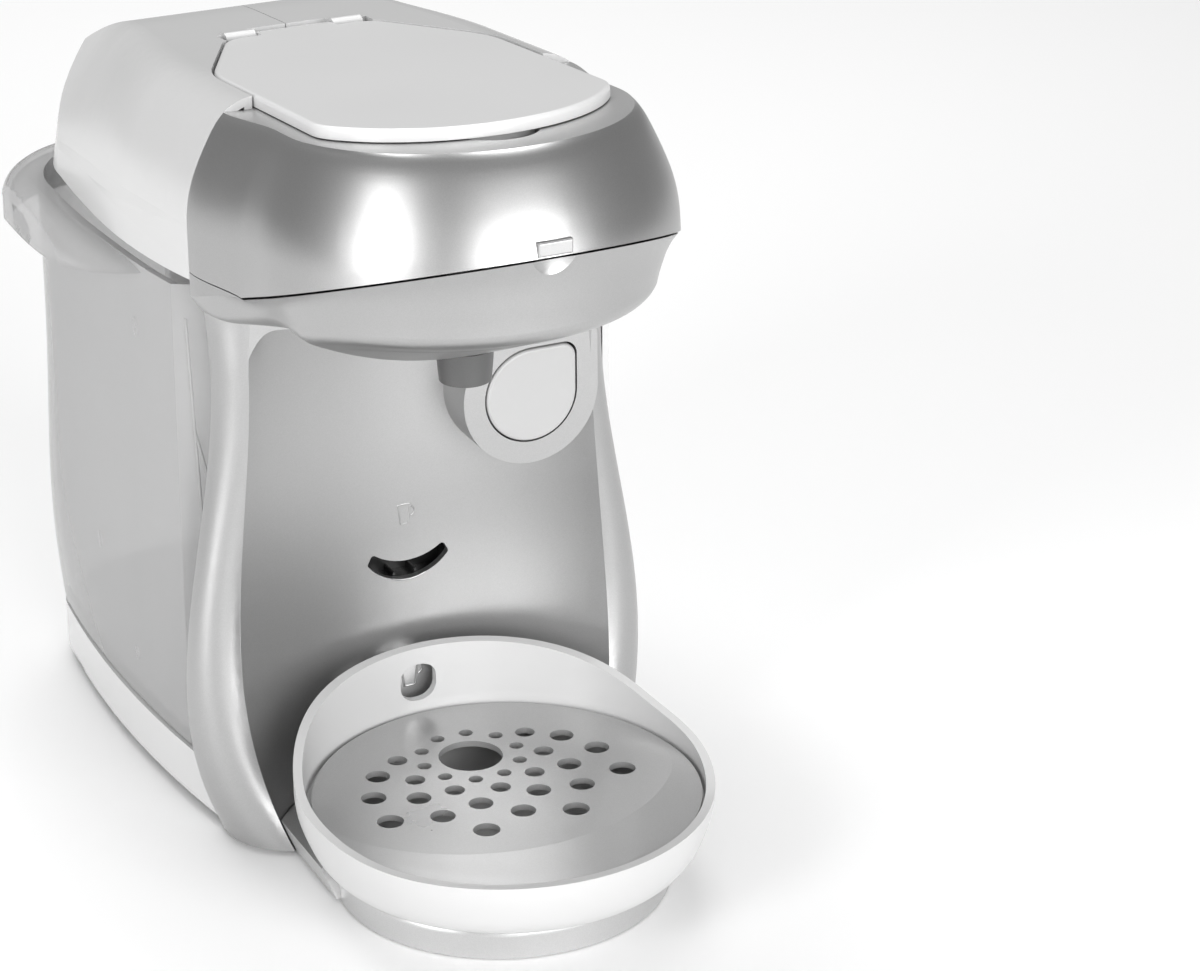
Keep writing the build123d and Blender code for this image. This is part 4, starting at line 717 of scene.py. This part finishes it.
cupMarks = {
    "cupMark": {
        "center": (-0.6, 83.6), "height": 6.0, "topHalf": 1.9, "footHalf": 1.15, "handleOut": 1.5, "line": 0.22,
        "startY": -70.0, "seat": onFront, "body": "housing",
    },
    "windowMark": {
        "center": (-1.6, 35.6), "height": 8.8, "topHalf": 2.9, "footHalf": 1.7, "handleOut": 1.6, "line": 0.32,
        "startY": -30.0, "seat": onSupport, "body": "tray_support",
    },
}
cupShape = {
    "wallSteps": 8,
    "handleSteps": 16,
    "handleTurn": (95, -80),
    "handleIn": 0.85,
    "handleUp": 0.12,
    "handleHalf": 0.24,
}


def cupLines(height, topHalf, footHalf, handleOut):
    # tapered cup as a closed outline, and its handle as half an ellipse beside the right wall
    half = height / 2
    body = np.array([(-topHalf, half), (-footHalf, -half), (footHalf, -half), (topHalf, half)])
    corners = np.concatenate([body, body[:1]])
    steps = np.linspace(0, 1, cupShape["wallSteps"] + 1)[:-1]
    outline = np.concatenate([a + (b - a) * steps[:, None] for a, b in zip(corners[:-1], corners[1:])])
    turn = np.radians(np.linspace(*cupShape["handleTurn"], cupShape["handleSteps"]))
    across = topHalf * cupShape["handleIn"] + handleOut * np.cos(turn)
    handle = np.stack([across, height * (cupShape["handleUp"] + cupShape["handleHalf"] * np.sin(turn))], axis=1)
    return outline, handle


def putMark(name, mark):
    outline, handle = cupLines(*(mark[key] for key in ("height", "topHalf", "footHalf", "handleOut")))
    profile = np.array(halfRound) * mark["line"]
    parts = []
    for line, closed in ((outline, True), (handle, False)):
        flat = line + np.array(mark["center"])
        seat = mark["seat"](np.stack([flat[:, 0], np.full(len(flat), mark["startY"]), flat[:, 1]], axis=1))
        parts.append(carry(seat, profile, (0, -1, 0), closed))
    putPiece(name, *join(parts), mark["body"], "silverPaint", "silver_plastic")


for name, mark in cupMarks.items():
    putMark(name, mark)


# slot: bright lower lip and the two partitions of its dark insert

slotTrim = {
    "halfW": 12.5,
    "z": 70.0,
    "dip": 6.5,
    "startY": -70.0,
    "endGap": 0.4,
    "lipDown": 0.25,
    "lip": 0.28,
    "lipSteps": 48,
    "ribX": (-3.2, 3.4),
    "ribW": 0.7,
    "ribRise": 1.5,
    "ribSteps": 12,
    "ribFront": 0.1,
    "ribRear": 1.3,
    "ribFloor": 1.2,
}
ribSection = [(-1, 0), (-1, 1), (-0.6, 1.3), (0.6, 1.3), (1, 1), (1, 0)]


def slotLip():
    # half-round bead along the slot's sagging lower edge: z falls with the square of the distance from the ends
    end = slotTrim["halfW"] - slotTrim["endGap"]
    x = np.linspace(-end, end, slotTrim["lipSteps"])
    z = slotTrim["z"] - slotTrim["dip"] * (1 - (x / slotTrim["halfW"]) ** 2) - slotTrim["lipDown"]
    seat = onFront(np.stack([x, np.full(len(x), slotTrim["startY"]), z], axis=1))
    points, faces = carry(seat, np.array(halfRound) * slotTrim["lip"], (0, -1, 0))
    putPiece("slotLip", points, faces, "housing", "silverPaint", "silver_plastic")


def slotRibs():
    # two thin partitions from front to rear, standing on the insert's floor
    low, high = (np.array(corner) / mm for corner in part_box("slot_insert"))
    steps = slotTrim["ribSteps"]
    y = np.linspace(low[1] + slotTrim["ribFront"], high[1] - slotTrim["ribRear"], steps)
    floor = np.full(steps, low[2] + slotTrim["ribFloor"])
    section = np.array(ribSection) * (slotTrim["ribW"] / 2, slotTrim["ribRise"])
    parts = [carry(np.stack([np.full(steps, x), y, floor], axis=1), section, (0, 0, 1)) for x in slotTrim["ribX"]]
    putPiece("slotRibs", *join(parts), "housing", "darkPlastic", "dark_plastic")


slotLip()
slotRibs()


# tank: moulded rail at the chamfered front corner, the bead slanting across the chamfer, and ejector marks

tankTrim = {
    "marks": ((26.3, 137.0, 2.4), (60.0, 59.0, 2.2), (33.0, 33.5, 1.8)),
    "markRise": 0.25,
    "markSink": 0.05,
    "markTall": 1.3,
    "markRings": 6,
    "markSpokes": 24,
    "markHole": 0.02,
    "startX": -90.0,
    "railSteps": 60,
    "railOut": (-1, -0.4, 0),
    "rail": 0.45,
    "railLow": (-9.5, 24.0),
    "railHigh": (-6.5, 150.0),
    "stepLow": (-10.6, 98.0),
    "stepHigh": (-7.3, 117.0),
}


def tankRails():
    # half-round beads on the tank's chamfered front corner: one up the corner, one slanting across it
    parts = []
    for low, high in ((tankTrim["railLow"], tankTrim["railHigh"]), (tankTrim["stepLow"], tankTrim["stepHigh"])):
        line = np.linspace(low, high, tankTrim["railSteps"])
        seat = onTank(np.stack([np.full(len(line), tankTrim["startX"]), line[:, 0], line[:, 1]], axis=1))
        seat = seat[~np.isnan(seat[:, 0])]
        parts.append(carry(seat, np.array(halfRound) * tankTrim["rail"], tankTrim["railOut"]))
    putPiece("tankRails", *join(parts), "water_tank", "clearTank", "clear_plastic")


def ejectorMarks():
    # low round rings: the radius runs from the edge to the middle while the height follows half a sine wave
    rings, spokes = tankTrim["markRings"], tankTrim["markSpokes"]
    turn = np.linspace(0, 2 * np.pi, spokes + 1)[:-1]
    share = np.linspace(1, tankTrim["markHole"], rings)[:, None]
    lift = tankTrim["markRise"] * np.sin(np.pi * np.linspace(0, 1, rings))[:, None] - tankTrim["markSink"]
    faces = gridFaces(rings, spokes, closedColumns=True).tolist()
    faces.append([(rings - 1) * spokes + k for k in range(spokes)])
    parts = []
    for y, z, radius in tankTrim["marks"]:
        across = y + radius * share * np.cos(turn)
        upward = z + radius * tankTrim["markTall"] * share * np.sin(turn)
        ring = np.stack([np.full((rings, spokes), tankTrim["startX"]), across, upward], axis=-1)
        seat = onTank(ring.reshape(-1, 3)).reshape(rings, spokes, 3)
        seat[..., 0] -= lift
        parts.append((seat.reshape(-1, 3), faces))
    putPiece("tankMarks", *join(parts), "water_tank", "clearTank", "clear_plastic", sharp=60)


tankRails()
ejectorMarks()
print("small pieces made")

# studio: pale floor, even surround and large soft lights

floorPaper = {"half": 6.0, "down": 0.0004, "color": (0.95, 0.95, 0.95, 1), "roughness": 0.75}


def makeFloor():
    # square of paper just under the feet: the four corners at plus and minus its half width
    mesh = bpy.data.meshes.new("floor")
    corners = np.array([(-1, -1, 0), (1, -1, 0), (1, 1, 0), (-1, 1, 0)]) * floorPaper["half"]
    corners = corners - (0, 0, floorPaper["down"])
    mesh.from_pydata(corners.tolist(), [], [(0, 1, 2, 3)])
    floor = bpy.data.objects.new("floor", mesh)
    bpy.context.scene.collection.objects.link(floor)
    material = bpy.data.materials.new("floorPaper")
    material.use_nodes = True
    shader = material.node_tree.nodes["Principled BSDF"]
    shader.inputs["Base Color"].default_value = floorPaper["color"]
    shader.inputs["Roughness"].default_value = floorPaper["roughness"]
    mesh.materials.append(material)


def aimAt(place, target):
    return (Vector(target) - Vector(place)).to_track_quat("-Z", "Y")


def softLight(name, place, target, size, power):
    data = bpy.data.lights.new(name, "AREA")
    data.shape = "RECTANGLE"
    data.size, data.size_y = size
    data.energy = power
    lamp = bpy.data.objects.new(name, data)
    lamp.location = place
    lamp.rotation_mode = "QUATERNION"
    lamp.rotation_quaternion = aimAt(place, target)
    bpy.context.scene.collection.objects.link(lamp)


studio = {
    "surround": (1.0, 1.0, 1.0),
    "surroundStrength": 0.3,
    "lights": {
        "stripLeft": ((-1.2, -0.52, 0.46), (0, -0.06, 0.14), (0.42, 0.9), 9),
        "wideFront": ((0.17, -1.5, 0.5), (0, -0.06, 0.14), (1.25, 0.85), 24),
        "topSoft": ((0.1, 0.75, 1.4), (0, 0, 0.1), (1.3, 1.3), 16),
    },
}


def makeStudio():
    world = bpy.data.worlds.new("studio")
    world.use_nodes = True
    back = world.node_tree.nodes["Background"]
    back.inputs["Color"].default_value = (*studio["surround"], 1)
    back.inputs["Strength"].default_value = studio["surroundStrength"]
    bpy.context.scene.world = world
    for name, (place, target, size, power) in studio["lights"].items():
        softLight(name, place, target, size, power)


camera = {
    "place": (-0.3704, -0.9212, 0.5209),
    "pitch": 23.62,
    "yaw": 25.75,
    "roll": -0.23,
    "lens": 113.8,
    "sensor": 36,
    "nearest": 0.01,
    "shift": (-0.0162, -0.0039),
}


def makeCamera():
    pitch, yaw, roll = (math.radians(camera[key]) for key in ("pitch", "yaw", "roll"))
    ahead = Vector((math.sin(yaw) * math.cos(pitch), math.cos(yaw) * math.cos(pitch), -math.sin(pitch)))
    level = Vector((math.cos(yaw), -math.sin(yaw), 0))
    upright = level.cross(ahead)
    right = level * math.cos(roll) + upright * math.sin(roll)
    up = upright * math.cos(roll) - level * math.sin(roll)
    data = bpy.data.cameras.new("camera")
    data.lens = camera["lens"]
    data.sensor_width = camera["sensor"]
    data.shift_x, data.shift_y = camera["shift"]
    data.clip_start = camera["nearest"]
    view = bpy.data.objects.new("camera", data)
    view.matrix_world = Matrix.Translation(camera["place"]) @ Matrix((right, up, -ahead)).transposed().to_4x4()
    bpy.context.scene.collection.objects.link(view)
    bpy.context.scene.camera = view


makeFloor()
makeStudio()
makeCamera()
bpy.context.scene.view_settings.view_transform = "Standard"
print("studio and camera set")
